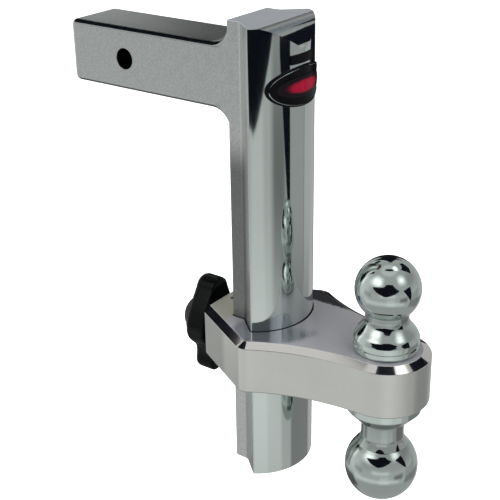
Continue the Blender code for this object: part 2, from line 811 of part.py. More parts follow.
def build_dust_cap_screw():
    pivot = web_point(HUB_REAR_X, 0, LOCK_Z + CAP_PIVOT_Z)
    profile = [
        (0.0, 0.0050),
        (0.0010, 0.0050),
        (0.0010, -0.0023),
        (0.0024, -0.0023),
        (0.0024, -0.0032),
        (0.0016, -0.0038),
        (0.0, -0.0040),
    ]
    screw = turned("dust_cap_screw", profile, "X", pivot, 20)
    slot = [(-0.0003, -0.003), (0.0003, -0.003), (0.0003, 0.003), (-0.0003, 0.003)]
    cut(screw, prism("cap_screw_slot_cutter", slot, -0.006, -0.0033, "X", pivot))
    return finished(screw, zinc_steel())


def bent_plate(name, half_width, low_high, inner, outer, height, steps=36):
    """A bent plate built in strips, so that its broad faces follow the arc."""
    points = []
    for k in range(steps + 1):
        u = -half_width + 2 * half_width * k / steps
        low, high = low_high(u)
        for radius in (inner, outer):
            for v in (low, high):
                angle = u / FRONT_ARC_R
                x = WEB_REAR_X + FRONT_ARC_X + radius * math.cos(angle)
                points.append((x, radius * math.sin(angle), height + v))
    faces = [(0, 1, 3, 2)]
    for k in range(steps):
        a = 4 * k
        b = a + 4
        faces += [(a, b, b + 1, a + 1), (a + 2, a + 3, b + 3, b + 2)]
        faces += [(a, a + 2, b + 2, b), (a + 1, b + 1, b + 3, a + 3)]
    last = 4 * steps
    faces.append((last, last + 2, last + 3, last + 1))
    return mesh_object(name, points, faces)


def oval(half_width, half_height):
    def low_high(u):
        share = max(0.0, 1 - (u / half_width) ** 2)
        height = max(0.0004, half_height * math.sqrt(share))
        return -height, height

    return low_high


def build_front_emblem():
    inner = FRONT_ARC_R + GAP
    shape = oval(EMBLEM_HALF_W, EMBLEM_HALF_H)
    plate = bent_plate("front_emblem", EMBLEM_HALF_W, shape, inner, inner + 0.0010, EMBLEM_Z)
    return finished(plate, black_enamel())


def build_emblem_inlay():
    inner = FRONT_ARC_R + GAP + 0.0010 + 0.0001
    width = EMBLEM_HALF_W * 0.80
    shape = oval(width, EMBLEM_HALF_H * 0.66)
    inlay = bent_plate("emblem_inlay", width, shape, inner, inner + 0.0005, EMBLEM_Z)
    return finished(inlay, red_enamel())


def build_front_plate():
    inner = FRONT_ARC_R + GAP

    def low_high(_):
        return -PLATE_HALF_H, PLATE_HALF_H

    plate = bent_plate("front_plate", PLATE_HALF_W, low_high, inner, inner + 0.0008, PLATE_Z, 16)
    return finished(plate, black_enamel())


FIXED_PIECES = (
    build_drop_post,
    build_front_emblem,
    build_emblem_inlay,
    build_front_plate,
)

# Each moving group: its pivot's name, the pivot that carries it, the pivot's place, its pieces.
MOVING_GROUPS = (
    (
        "platform_pivot",
        None,
        web_point(0, 0, LOCK_Z),
        (
            build_ball_platform,
            build_upper_ball,
            build_lower_ball,
            build_ball_roll_pin,
            build_lock_housing,
            build_housing_set_screw,
            build_sleeve_circlip,
            build_thrust_washer,
            build_detent_ball,
            build_detent_spring,
        ),
    ),
    (
        "lock_bolt_pivot",
        "platform_pivot",
        lock_point(FOLLOWER_X),
        (build_lock_pin, build_cam_follower_pin),
    ),
    (
        "handle_pivot",
        "platform_pivot",
        lock_point(HANDLE_FRONT_X),
        (
            build_turn_handle,
            build_cam_sleeve,
            build_handle_roll_pin,
            build_key_cylinder,
            build_dust_cap_screw,
        ),
    ),
    (
        "key_pivot",
        "handle_pivot",
        lock_point(HUB_REAR_X),
        (build_key_plug, build_plug_cam, build_plug_clip),
    ),
    (
        "dust_cap_pivot",
        "handle_pivot",
        web_point(HUB_REAR_X, 0, LOCK_Z + CAP_PIVOT_Z),
        (build_dust_cap,),
    ),
)


def hang(obj, parent):
    """Parents obj to an empty without moving it."""
    bpy.context.view_layer.update()
    obj.parent = parent
    obj.matrix_parent_inverse = parent.matrix_world.inverted()


def pivot(name, place, carrier):
    """An empty on a joint's axis, which the pieces that move about it hang from."""
    empty = bpy.data.objects.new(name, None)
    empty.empty_display_size = 0.02
    empty.location = place
    bpy.context.scene.collection.objects.link(empty)
    if carrier:
        hang(empty, bpy.data.objects[carrier])
    return empty


def main():
    clear_scene()
    for build in FIXED_PIECES:
        build()
    for name, carrier, place, builders in MOVING_GROUPS:
        empty = pivot(name, place, carrier)
        for build in builders:
            hang(build(), empty)


main()
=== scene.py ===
"""The looks of an adjustable drop hitch with two balls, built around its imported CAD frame."""

from functools import reduce
import json
import math

import bmesh
import bpy
import numpy as np
from mathutils import Matrix, Vector


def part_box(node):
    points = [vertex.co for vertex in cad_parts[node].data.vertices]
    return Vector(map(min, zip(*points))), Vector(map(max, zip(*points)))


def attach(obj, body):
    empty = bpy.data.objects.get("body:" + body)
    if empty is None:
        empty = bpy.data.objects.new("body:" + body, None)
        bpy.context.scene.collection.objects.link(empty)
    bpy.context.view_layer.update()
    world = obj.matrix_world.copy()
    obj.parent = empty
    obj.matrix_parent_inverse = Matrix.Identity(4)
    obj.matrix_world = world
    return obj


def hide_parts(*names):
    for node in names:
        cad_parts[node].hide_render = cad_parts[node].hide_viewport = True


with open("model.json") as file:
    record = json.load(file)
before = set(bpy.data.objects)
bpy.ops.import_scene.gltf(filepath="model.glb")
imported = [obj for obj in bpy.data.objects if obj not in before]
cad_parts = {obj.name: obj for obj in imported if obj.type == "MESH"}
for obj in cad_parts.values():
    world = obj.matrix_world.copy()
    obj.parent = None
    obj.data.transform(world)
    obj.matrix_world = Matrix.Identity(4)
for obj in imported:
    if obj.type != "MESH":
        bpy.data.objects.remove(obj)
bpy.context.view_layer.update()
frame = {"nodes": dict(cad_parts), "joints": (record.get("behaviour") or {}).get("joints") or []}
NODES = frame["nodes"]
JOINTS = {joint["name"]: joint for joint in frame["joints"]}

# Places read from the frame, in metres.
POST_LOW, POST_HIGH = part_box("drop_post")
DECK_LOW, DECK_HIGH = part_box("ball_platform")
UPPER_LOW, UPPER_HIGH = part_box("upper_ball")
LOWER_LOW, LOWER_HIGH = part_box("lower_ball")
HOUSING_LOW, HOUSING_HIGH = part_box("lock_housing")
CAP_LOW, CAP_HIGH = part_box("dust_cap")
LOCK_Z = JOINTS["handle_turn"]["pos_m"][2]
CAP_PIVOT = Vector(JOINTS["dust_cap_swing"]["pos_m"])
LOWEST_Z = LOWER_LOW.z + JOINTS["platform_height"]["range_m"][0]

# The post's section, measured from the web's rear face.
FRONT_ARC_X = 0.0055
FRONT_ARC_R = 0.0466
ARC_X = POST_HIGH.x - FRONT_ARC_R
WEB_X = ARC_X - FRONT_ARC_X
WEB_HALF = 0.0254
WEB_CORNER = 0.0016
EAR_ROOT_X = 0.0125
EAR_SLOPE_DEG = 41.0
EAR_FILLET = 0.0050
EAR_TIP_R = 0.0016
EAR_TIP_DEG = 3.4
ELBOW_R = 0.0160
CROWN_R = 0.0210
CROWN_Z = POST_HIGH.z - CROWN_R
CROWN_START_X = 0.0312
POST_EDGE = 0.0007

# The shank.
SHANK_SIDE = 0.0508
SHANK_EDGE = 0.0038
SHANK_END_R = 0.0050
SHANK_ROOT_X = 0.008
PIN_HOLE_R = 0.00815
HEIGHT_HOLE_R = 0.0068
HEIGHT_HOLE_DEPTH = 0.0150
HOLE_PITCH = 0.0254
HOLE_STEPS = range(-3, 6)
HOLE_CHAMFER = 0.0005

# The platform's plan and edges.
DECK_REAR_HALF = 0.0295
SHOULDER_SLOPE_DEG = 28.7
SHOULDER_R = 0.0105
WAIST_R = 0.1780
BOSS_R = 0.0356
BALL_X = DECK_HIGH.x - BOSS_R
CHAMFER_IN = 0.0070
CHAMFER_DOWN = 0.0038
UNDER_CHAMFER = 0.0012
DECK_SOFT = 0.00025
POST_GAP = 0.0009
BALL_BORE_R = 0.0130
LOCK_BORE_R = 0.0133
SET_SCREW_X = -0.0177
SET_SCREW_HOLE_R = 0.0033

# The balls.
UPPER_R = 0.0254
UPPER_Z = UPPER_HIGH.z - UPPER_R
LOWER_R = 0.02937
LOWER_Z = DECK_LOW.z - 0.0635
NECK_R = 0.0170
BASE_R = 0.0258
BASE_STEP = 0.0018
GROOVE = 0.0009
STUD_R = 0.0125
SOCKET_R = 0.0128
COLLAR_R = 0.0294
HEX_R = 0.0070
HEX_DEPTH = 0.0090
ROLL_PIN_Z = UPPER_LOW.z + 0.0048
ROLL_PIN_HOLE_R = 0.0028

# The handle and what lies behind it.
HANDLE_FRONT_X = -0.0340
WING_FRONT_X = HANDLE_FRONT_X - 0.0007
WING_FRONT_EDGE = 0.0018
WING_REAR_X = -0.0550
WING_REAR_EDGE = 0.0058
HUB_REAR_X = -0.0585
HUB_R = 0.0205
HUB_DOME_R = 0.0060
WING_UP = 0.0385
WING_UP_R = 0.0110
WING_DOWN = 0.0480
WING_DOWN_R = 0.0080
WING_BELLY = 0.0235
WING_TILT_DEG = 6.0
SPINDLE_HOLE_R = 0.0063
KEY_HOLE_R = 0.0098
MOULDING_VOXEL = 0.0006
MOULDING_BLENDS = 14
CAP_R = 0.0150
CAP_HOLE_R = 0.0015
CAP_RECESS_R = 0.0028
CAP_RIBS = 4
SLEEVE_R = 0.0130
SLEEVE_BORE_R = 0.0101
LOCK_PIN_BORE_R = 0.0067
FLANGE_DEPTH = 0.0050
GAP = 0.0003

# The badge, on the post's front arc.
EMBLEM_Z = -0.0025
EMBLEM_HALF_W = 0.0356
EMBLEM_HALF_H = 0.0152
FIELD_STRETCH = (1.22, 0.86)
PLATE_Z = 0.0180
PLATE_HALF_W = 0.0155
PLATE_HALF_H = 0.0034
PLATE_CORNER = 0.0008

# The camera and the floor, which is as low as the platform ever goes.
CAMERA_PLACE = (0.59715, -0.65647, 0.22237)
CAMERA_YAW_DEG = 36.983
CAMERA_PITCH_DEG = 24.354
CAMERA_ROLL_DEG = -0.9355
CAMERA_LENS_MM = 79.625
CAMERA_SENSOR_MM = 36.0
FLOOR_Z = min(POST_LOW.z, LOWEST_Z) - 0.0002
FLOOR_R = 6.0
FLOOR_STEPS = 96
FLOOR_GLOW = 0.70
COVE_GLOW = 1.0

# Edges sharper than this stay sharp when a piece is shaded smooth.
SHARP_DEG = 14.0
TURNED_SHARP_DEG = 24.0
BADGE_SHARP_DEG = 30.0
HANDLE_SHARP_DEG = 40.0
CAP_SHARP_DEG = 35.0


# ---- mesh helpers


def in_scene(name, data):
    """A new object in the scene, with its mesh, light or camera."""
    obj = bpy.data.objects.new(name, data)
    bpy.context.scene.collection.objects.link(obj)
    return obj


def mesh_object(name, points, faces):
    """A mesh object with merged points and outward normals."""
    mesh = bpy.data.meshes.new(name)
    mesh.from_pydata([tuple(p) for p in points], [], faces)
    shaped = bmesh.new()
    shaped.from_mesh(mesh)
    bmesh.ops.remove_doubles(shaped, verts=shaped.verts, dist=1e-7)
    bmesh.ops.recalc_face_normals(shaped, faces=shaped.faces)
    if shaped.calc_volume(signed=True) < 0:
        bmesh.ops.reverse_faces(shaped, faces=shaped.faces)
    shaped.to_mesh(mesh)
    shaped.free()
    return in_scene(name, mesh)


def placed(points, axis, origin):
    """Turns (u, v, w) points so that w runs along axis, and moves them to origin."""
    turns = {
        "X": Matrix(((0, 0, 1), (1, 0, 0), (0, 1, 0))),
        "Y": Matrix(((0, 1, 0), (0, 0, 1), (1, 0, 0))),
        "Z": Matrix.Identity(3),
    }
    turn = turns[axis]
    return [turn @ Vector(p) + Vector(origin) for p in points]


def skin(rows, count, closed=False):
    """The quads between rows of count points each. closed joins the last row to the first."""
    faces = []
    for row in range(rows if closed else rows - 1):
        here = row * count
        beyond = (row + 1) % rows * count
        for k in range(count):
            after = (k + 1) % count
            faces.append((here + k, here + after, beyond + after, beyond + k))
    return faces


def stacked(name, rings, axis="Z", origin=(0, 0, 0)):
    """A closed solid skinned over rings of equally many (u, v, w) points."""
    count = len(rings[0])
    points = [p for ring in rings for p in ring]
    ends = [tuple(range(count)), tuple(range(len(points) - count, len(points)))]
    return mesh_object(name, placed(points, axis, origin), ends + skin(len(rings), count))


def prism(name, outline, low, high, axis="Z", origin=(0, 0, 0)):
    rings = [[(u, v, w) for u, v in outline] for w in (low, high)]
    return stacked(name, rings, axis, origin)


def circle(radius, steps=96):
    turns = [math.tau * (k + 0.5) / steps for k in range(steps)]
    return [(radius * math.cos(a), radius * math.sin(a)) for a in turns]


def rod(name, radius, low, high, axis="Z", origin=(0, 0, 0), steps=96):
    return prism(name, circle(radius, steps), low, high, axis, origin)


def turned(name, profile, axis="Z", origin=(0, 0, 0), steps=192):
    """Turns a profile of (radius, height) points. A radius of 0 closes the end."""
    points = []
    rows = []
    for radius, height in profile:
        if radius <= 0:
            rows.append([len(points)])
            points.append((0.0, 0.0, height))
            continue
        rows.append(list(range(len(points), len(points) + steps)))
        points += [(u, v, height) for u, v in circle(radius, steps)]
    faces = []
    pairs = list(zip(rows, rows[1:]))
    if len(rows[0]) > 1 and len(rows[-1]) > 1:
        pairs.append((rows[-1], rows[0]))
    for first, second in pairs:
        for k in range(steps):
            after = (k + 1) % steps
            loop = [first[k % len(first)], first[after % len(first)]]
            loop += [second[after % len(second)], second[k % len(second)]]
            faces.append(tuple(dict.fromkeys(loop)))
    return mesh_object(name, placed(points, axis, origin), faces)


def arc(centre, radius, start_deg, end_deg, steps):
    turns = np.radians(np.linspace(start_deg, end_deg, steps + 1))
    return [(centre[0] + radius * math.cos(a), centre[1] + radius * math.sin(a)) for a in turns]


def curve_through(points, steps):
    """A Catmull-Rom curve through (u, v) points."""
    ends = [points[0], *points, points[-1]]
    result = []
    for k in range(len(points) - 1):
        a, b, c, d = (np.array(p, float) for p in ends[k : k + 4])
        for t in np.linspace(0, 1, steps, endpoint=False):
            bend = 2 * a - 5 * b + 4 * c - d
            last = -a + 3 * b - 3 * c + d
            result.append(tuple(0.5 * (2 * b + (c - a) * t + bend * t**2 + last * t**3)))
    return [*result, points[-1]]


def rounded(corners, steps):
    """An outline from (u, v, radius) corners, each corner replaced by its tangent arc."""
    made = []
    count = len(corners)
    for i in range(count):
        u, v, radius = corners[i]
        here = Vector((u, v))
        if radius <= 0:
            made.append((u, v))
            continue
        before = (Vector(corners[i - 1][:2]) - here).normalized()
        after = (Vector(corners[(i + 1) % count][:2]) - here).normalized()
        half = math.acos(max(-1.0, min(1.0, before.dot(after)))) / 2
        centre = here + (before + after).normalized() * (radius / math.sin(half))
        begin = here + before * (radius / math.tan(half)) - centre
        finish = here + after * (radius / math.tan(half)) - centre
        sweep = begin.angle_signed(finish)
        for k in range(steps + 1):
            turned_by = Matrix.Rotation(-sweep * k / steps, 2) @ begin
            made.append(tuple(centre + turned_by))
    return made


def mirrored(half):
    """A closed outline from its half with v above 0, whose ends may lie on v = 0."""
    back = [(u, -v) for u, v in reversed(half) if v > 1e-9]
    return list(half) + back


def offset(outline, distance):
    """The outline moved out by distance, vertex by vertex along the mitred normals."""
    points = np.array(outline)
    ahead = np.roll(points, -1, axis=0) - points
    ahead /= np.linalg.norm(ahead, axis=1, keepdims=True)
    area = np.cross(points, np.roll(points, -1, axis=0)).sum()
    normal = np.stack([ahead[:, 1], -ahead[:, 0]], axis=1) * np.sign(area)
    behind = np.roll(normal, 1, axis=0)
    mitre = normal + behind
    mitre /= (mitre * normal).sum(axis=1, keepdims=True)
    return [tuple(p) for p in points + mitre * distance]


def combine(body, other, operation):
    """Adds a boolean that settle applies."""
    modifier = body.modifiers.new(other.name, "BOOLEAN")
    modifier.operation = operation
    modifier.object = other
    modifier.solver = "EXACT"


def cut(body, other):
    combine(body, other, "DIFFERENCE")


def join(body, other):
    combine(body, other, "UNION")


def settle(obj):
    """Applies obj's modifiers and removes the cutters that they used."""
    bpy.context.view_layer.update()
    graph = bpy.context.evaluated_depsgraph_get()
    mesh = bpy.data.meshes.new_from_object(obj.evaluated_get(graph))
    used = [m.object for m in obj.modifiers if m.type == "BOOLEAN"]
    obj.modifiers.clear()
    obj.data = mesh
    for other in used:
        bpy.data.objects.remove(other)


def smoothed(obj, sharp_deg=SHARP_DEG):
    """Cleans the mesh, shades it smooth between sharp edges and keeps its flats flat."""
    shaped = bmesh.new()
    shaped.from_mesh(obj.data)
    bmesh.ops.remove_doubles(shaped, verts=shaped.verts, dist=1e-6)
    bmesh.ops.dissolve_degenerate(shaped, edges=shaped.edges, dist=1e-6)
    shaped.to_mesh(obj.data)
    shaped.free()
    obj.data.shade_smooth()
    obj.data.set_sharp_from_angle(angle=math.radians(sharp_deg))
    weighted = obj.modifiers.new("flat_faces", "WEIGHTED_NORMAL")
    weighted.keep_sharp = True
    weighted.weight = 90
    return obj


def finished(obj, body, material, slot, *nodes):
    """Gives a piece its material, body and the CAD nodes it stands for. slot is not used."""
    obj.data.materials.clear()
    obj.data.materials.append(material)
    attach(obj, body)
    if nodes:
        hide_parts(*nodes)
    return obj


def web_point(x, z=0.0):
    """A point on the middle plane, x ahead of the web's rear face."""
    return (WEB_X + x, 0.0, z)


LOCK_POINT = web_point(0.0, LOCK_Z)


# ---- material helpers


class Nodes:
    """A short way to write one material's nodes."""

    def __init__(self, name, colour, metallic, roughness):
        self.material = bpy.data.materials.new(name)
        self.material.use_nodes = True
        self.tree = self.material.node_tree
        self.shader = self.tree.nodes["Principled BSDF"]
        self.inputs = self.shader.inputs
        self.inputs["Base Color"].default_value = (*colour, 1.0)
        self.inputs["Metallic"].default_value = metallic
        self.inputs["Roughness"].default_value = roughness
        self.coordinates = self.tree.nodes.new("ShaderNodeTexCoord")
        self.position = self.coordinates.outputs["Object"]
        self.heights = []

    def link(self, source, target):
        if isinstance(source, bpy.types.NodeSocket):
            self.tree.links.new(source, target)
        else:
            target.default_value = source

    def math(self, operation, first, second=0.0, third=0.0):
        node = self.tree.nodes.new("ShaderNodeMath")
        node.operation = operation
        for value, socket in zip((first, second, third), node.inputs):
            self.link(value, socket)
        return node.outputs[0]

    def plus(self, *terms):
        return reduce(lambda a, b: self.math("ADD", a, b), terms)

    def minus(self, first, second):
        return self.math("SUBTRACT", first, second)

    def times(self, *factors):
        return reduce(lambda a, b: self.math("MULTIPLY", a, b), factors)

    def added(self, value, share, base):
        return self.math("MULTIPLY_ADD", value, share, base)

    def squares(self, first, second):
        return self.plus(self.math("POWER", first, 2.0), self.math("POWER", second, 2.0))

    def distance(self, first, second):
        return self.math("SQRT", self.squares(first, second))

    def mapped(self, value, side, low, high, step="LINEAR"):
        node = self.tree.nodes.new("ShaderNodeMapRange")
        node.interpolation_type = step
        self.link(value, node.inputs["Value"])
        node.inputs[f"{side} Min"].default_value = low
        node.inputs[f"{side} Max"].default_value = high
        return node.outputs["Result"]

    def smooth(self, value, low, high):
        """0 at low and 1 at high, either of which may be the greater, with a soft step between."""
        return self.mapped(value, "From", low, high, "SMOOTHSTEP")

    def ranged(self, value, low, high):
        """A 0 to 1 value spread over low to high."""
        return self.mapped(value, "To", low, high)

    def axes(self):
        node = self.tree.nodes.new("ShaderNodeSeparateXYZ")
        self.link(self.position, node.inputs[0])
        return node.outputs

    def noise(self, scale, detail=3.0, roughness=0.55):
        """Noise from 0 to 1. scale is in repeats per metre, one for all axes or one each."""
        node = self.tree.nodes.new("ShaderNodeTexNoise")
        vector = self.position
        if isinstance(scale, tuple):
            mapping = self.tree.nodes.new("ShaderNodeMapping")
            self.link(vector, mapping.inputs["Vector"])
            mapping.inputs["Scale"].default_value = scale
            vector = mapping.outputs[0]
            scale = 1.0
        self.link(vector, node.inputs["Vector"])
        node.inputs["Scale"].default_value = scale
        node.inputs["Detail"].default_value = detail
        node.inputs["Roughness"].default_value = roughness
        return node.outputs["Fac"]

    def rings(self, centre_x, pitch, waver):
        """Arcs about an upright line at centre_x, as a milling cutter leaves them."""
        x, y, _ = self.axes()
        away = self.distance(self.minus(x, centre_x), y)
        away = self.added(self.noise(90.0), waver, away)
        return self.math("SINE", self.times(away, math.tau / pitch))

    def mix(self, factor, first, second):
        """Mixes two colours, or two numbers, by factor."""
        node = self.tree.nodes.new("ShaderNodeMix")
        coloured = isinstance(first, tuple) or getattr(first, "type", "") == "RGBA"
        node.data_type = "RGBA" if coloured else "FLOAT"
        first_socket = 6 if coloured else 2
        self.link(factor, node.inputs[0])
        for value, socket in zip((first, second), node.inputs[first_socket : first_socket + 2]):
            if isinstance(value, tuple):
                value = (*value, 1.0)
            self.link(value, socket)
        return node.outputs[2 if coloured else 0]

    def tinted(self, colour, share):
        """The colour dimmed to a share of itself."""
        node = self.tree.nodes.new("ShaderNodeMix")
        node.data_type = "RGBA"
        node.blend_type = "MULTIPLY"
        node.inputs[0].default_value = 1.0
        self.link(colour, node.inputs[6])
        node.inputs[7].default_value = (share, share, share, 1.0)
        return node.outputs[2]

    def shaded(self, mask, colour, share):
        """The colour, dimmed to a share of itself where the mask is 1."""
        return self.mix(mask, colour, self.tinted(colour, share))

    def colour(self, source):
        self.link(source, self.inputs["Base Color"])

    def roughness(self, source):
        self.link(source, self.inputs["Roughness"])

    def height(self, source, metres):
        """Adds a height, from a 0 to 1 source, to the surface."""
        self.heights.append(self.times(source, metres))

    def done(self):
        if self.heights:
            bump = self.tree.nodes.new("ShaderNodeBump")
            bump.inputs["Strength"].default_value = 1.0
            bump.inputs["Distance"].default_value = 1.0
            self.link(self.plus(*self.heights), bump.inputs["Height"])
            self.link(bump.outputs[0], self.inputs["Normal"])
        return self.material


# ---- materials

# Brushing, in repeats per metre along the lines and across them, and the milling's pitch.
LINE_RUN = 14.0
LINE_FINE = 1600.0
MILLING_PITCH = 0.0016
# Soft steps between zones of finish and of painted shade and reflection, in metres: (where a zone
# begins, where it is full).
WEB_SHADE_TOP = (-0.042, -0.075)
WEB_SHADE_FOOT = (-0.250, -0.210)
BROW_STEP = (POST_HIGH.z - 0.0075, POST_HIGH.z - 0.0020)
DECK_RING = (FRONT_ARC_R + 0.028, FRONT_ARC_R + 0.018)
FAR_EDGE_Y = (0.0370, 0.0410)
# The balls' hollow necks, where the plate is dimmed as painted shade, counted from the platform's
# underside and the upper ball's foot.
LOWER_HOLLOW = ((-0.0068, -0.0108), (-0.0608, -0.0268))
UPPER_HOLLOW = ((0.0225, 0.0245), (0.0340, 0.0290))
# The red patch's half width and height, as shares of the badge's.
RED_SHARE = (0.56, 0.36)
ENAMEL_SPECULAR = 0.04
PLASTIC_SPECULAR = 0.12


def shank_rounding(n, y, z):
    """1 on the rounding of the shank's upper and lower long edges."""
    start = SHANK_SIDE / 2 - SHANK_EDGE
    high = n.minus(n.math("ABSOLUTE", z), start)
    wide = n.minus(n.math("ABSOLUTE", y), start)
    return n.smooth(n.math("MINIMUM", high, wide), 0.0, 0.0004)


def polished_front(n, x, y, z):
    """1 on the post's curved front and on its rounded brow."""
    away = n.distance(n.minus(x, ARC_X), y)
    on_arc = n.smooth(away, FRONT_ARC_R - 0.0010, FRONT_ARC_R - 0.0004)
    ahead = n.smooth(x, WEB_X + 0.029, WEB_X + 0.030)
    crown = n.smooth(z, CROWN_Z, CROWN_Z + 0.0006)
    crown = n.times(crown, n.smooth(x, WEB_X + 0.036, WEB_X + 0.042))
    return n.math("MAXIMUM", n.times(on_arc, ahead), crown), crown


def painted_web_shade(n, x, y, z):
    """1 on the web's sides below the shank, which the photo shows darker."""
    # Painted shade: this mask dims the satin on the web's sides below the shank.
    height = n.times(n.smooth(z, *WEB_SHADE_TOP), n.smooth(z, *WEB_SHADE_FOOT))
    behind = n.minus(1.0, n.smooth(x, WEB_X + 0.012, WEB_X + 0.030))
    side = n.smooth(n.math("ABSOLUTE", y), WEB_HALF - 0.0012, WEB_HALF - 0.0002)
    return n.times(height, behind, side)


def post_metal():
    """Aluminium: satin brushed sides, a polished front and a milled top."""
    n = Nodes("post_metal", (0.60, 0.63, 0.61), 1.0, 0.3)
    x, y, z = n.axes()
    polished, crown = polished_front(n, x, y, z)
    matt = n.minus(1.0, polished)
    flat_top = n.smooth(z, POST_HIGH.z - 0.0006, POST_HIGH.z - 0.0002)
    on_shank = n.smooth(x, WEB_X - 0.004, WEB_X - 0.012)
    along_post = n.noise((LINE_FINE, LINE_FINE, LINE_RUN), 4.0)
    along_shank = n.noise((LINE_RUN, LINE_FINE, LINE_FINE), 4.0)
    brushed = n.mix(on_shank, along_post, along_shank)
    grain = n.noise(1500.0, 2.0)
    cloud = n.noise(28.0, 4.0)
    satin = n.mix(n.ranged(cloud, 0.25, 0.75), (0.63, 0.65, 0.64), (0.72, 0.74, 0.73))
    speckle = n.noise(620.0, 2.0, roughness=0.7)
    satin = n.shaded(n.smooth(speckle, 0.35, 0.65), satin, 0.84)
    # Painted shade: the satin is dimmed on the web's sides below the shank.
    satin = n.shaded(painted_web_shade(n, x, y, z), satin, 0.37)
    # Painted shade: the satin is dimmed on the rounding of the shank's long edges.
    rounded_edge = n.times(shank_rounding(n, y, z), on_shank)
    satin = n.shaded(rounded_edge, satin, 0.80)
    # Painted shade: the pin hole's bore is painted near black.
    bore = n.smooth(n.distance(x, z), PIN_HOLE_R + 0.0004, PIN_HOLE_R + 0.0001)
    satin = n.mix(bore, satin, (0.030, 0.031, 0.030))
    bright = n.mix(cloud, (0.60, 0.66, 0.635), (0.66, 0.70, 0.68))
    # Painted reflection: the polished brow darkens to a patchy blue-grey towards the top.
    brow = n.times(crown, n.smooth(z, *BROW_STEP), n.ranged(n.noise(220.0, 4.0), 0.5, 1.0))
    bright = n.mix(brow, bright, (0.16, 0.19, 0.25))
    milled = n.mix(cloud, (0.40, 0.42, 0.45), (0.45, 0.47, 0.50))
    lid = n.times(flat_top, matt)
    n.colour(n.mix(lid, n.mix(polished, satin, bright), milled))
    n.link(n.mix(lid, 1.0, 0.45), n.inputs["Metallic"])
    dull = n.plus(n.ranged(brushed, 0.26, 0.40), n.ranged(grain, -0.04, 0.05))
    sheen = n.plus(n.ranged(along_post, 0.02, 0.07), n.ranged(cloud, 0.0, 0.05))
    n.roughness(n.mix(polished, n.mix(rounded_edge, dull, 0.10), sheen))
    n.height(n.times(brushed, matt), 0.000010)
    n.height(n.times(grain, matt), 0.000012)
    n.height(n.times(n.rings(WEB_X - 0.012, MILLING_PITCH, 0.0004), lid), 0.0000035)
    n.height(n.times(n.noise((60.0, 60.0, 5.0), 2.0), polished), 0.00006)
    return n.done()


def deck_top_zones(n, x, y, top):
    """On the platform's top: the glossy ring before the post, tinted as a painted reflection of it, and
    the far edge, darkened as painted shade.
    """
    ring = n.smooth(n.distance(n.minus(x, ARC_X), y), *DECK_RING)
    near = n.smooth(y, -0.002, -0.022)
    ring = n.times(ring, near, top, n.smooth(x, WEB_X + 0.008, WEB_X + 0.016))
    ragged = n.added(n.noise(260.0, 4.0), 0.006, y)
    far = n.times(n.smooth(ragged, *FAR_EDGE_Y), n.smooth(x, WEB_X + 0.080, WEB_X + 0.062))
    return ring, n.times(far, top, n.smooth(x, WEB_X, WEB_X + 0.008))


def deck_metal():
    """Machined aluminium: a reflective milled top, polished chamfers, satin walls."""
    n = Nodes("deck_metal", (0.62, 0.62, 0.60), 1.0, 0.25)
    x, y, z = n.axes()
    chamfer_z = DECK_HIGH.z - CHAMFER_DOWN
    top = n.smooth(z, DECK_HIGH.z - 0.0004, DECK_HIGH.z - 0.0001)
    above = n.smooth(z, chamfer_z - 0.0002, chamfer_z)
    slope = n.minus(above, top)
    cloud = n.noise(24.0, 4.0)
    lines = n.noise((2600.0, 2600.0, 24.0), 3.0)
    grain = n.noise(1700.0, 2.0)
    wall = n.mix(cloud, (0.71, 0.71, 0.68), (0.81, 0.81, 0.775))
    # Painted shade: the walls behind the post are dimmed.
    wall = n.shaded(n.smooth(x, WEB_X + 0.012, WEB_X + 0.002), wall, 0.72)
    ring, far = deck_top_zones(n, x, y, top)
    glossy = n.math("MAXIMUM", ring, far)
    behind = n.smooth(x, WEB_X + 0.004, WEB_X - 0.003)
    upper = n.mix(cloud, (0.40, 0.40, 0.43), (0.46, 0.455, 0.48))
    # Painted reflection: the top behind the post is tinted a darker beige.
    upper = n.mix(behind, upper, n.mix(cloud, (0.34, 0.335, 0.285), (0.42, 0.41, 0.35)))
    # Painted reflection: the glossy ring before the post is tinted bluer.
    upper = n.mix(ring, upper, (0.47, 0.49, 0.55))
    # Painted shade: the platform's far edge is painted near black.
    upper = n.mix(far, upper, (0.16, 0.17, 0.19))
    n.colour(n.mix(slope, n.mix(top, wall, upper), (0.86, 0.82, 0.80)))
    n.link(n.mix(glossy, n.mix(top, 1.0, 0.45), 0.85), n.inputs["Metallic"])
    walls = n.plus(n.ranged(lines, 0.25, 0.32), n.ranged(grain, -0.02, 0.03))
    tops = n.plus(n.ranged(cloud, 0.30, 0.36), n.ranged(grain, 0.0, 0.05))
    n.roughness(n.mix(slope, n.mix(top, walls, n.mix(glossy, tops, 0.15)), 0.07))
    arcs = n.rings(WEB_X + 0.030, MILLING_PITCH, 0.0005)
    n.height(n.times(arcs, top, n.ranged(behind, 0.1, 1.0)), 0.000012)
    side = n.minus(1.0, above)
    n.height(n.times(lines, side), 0.0000025)
    n.height(n.times(grain, side), 0.000004)
    return n.done()


def hollow(n, z, base, levels):
    """1 between two soft levels above base."""
    low, high = levels
    rise = n.smooth(z, base + low[0], base + low[1])
    return n.times(rise, n.smooth(z, base + high[0], base + high[1]))


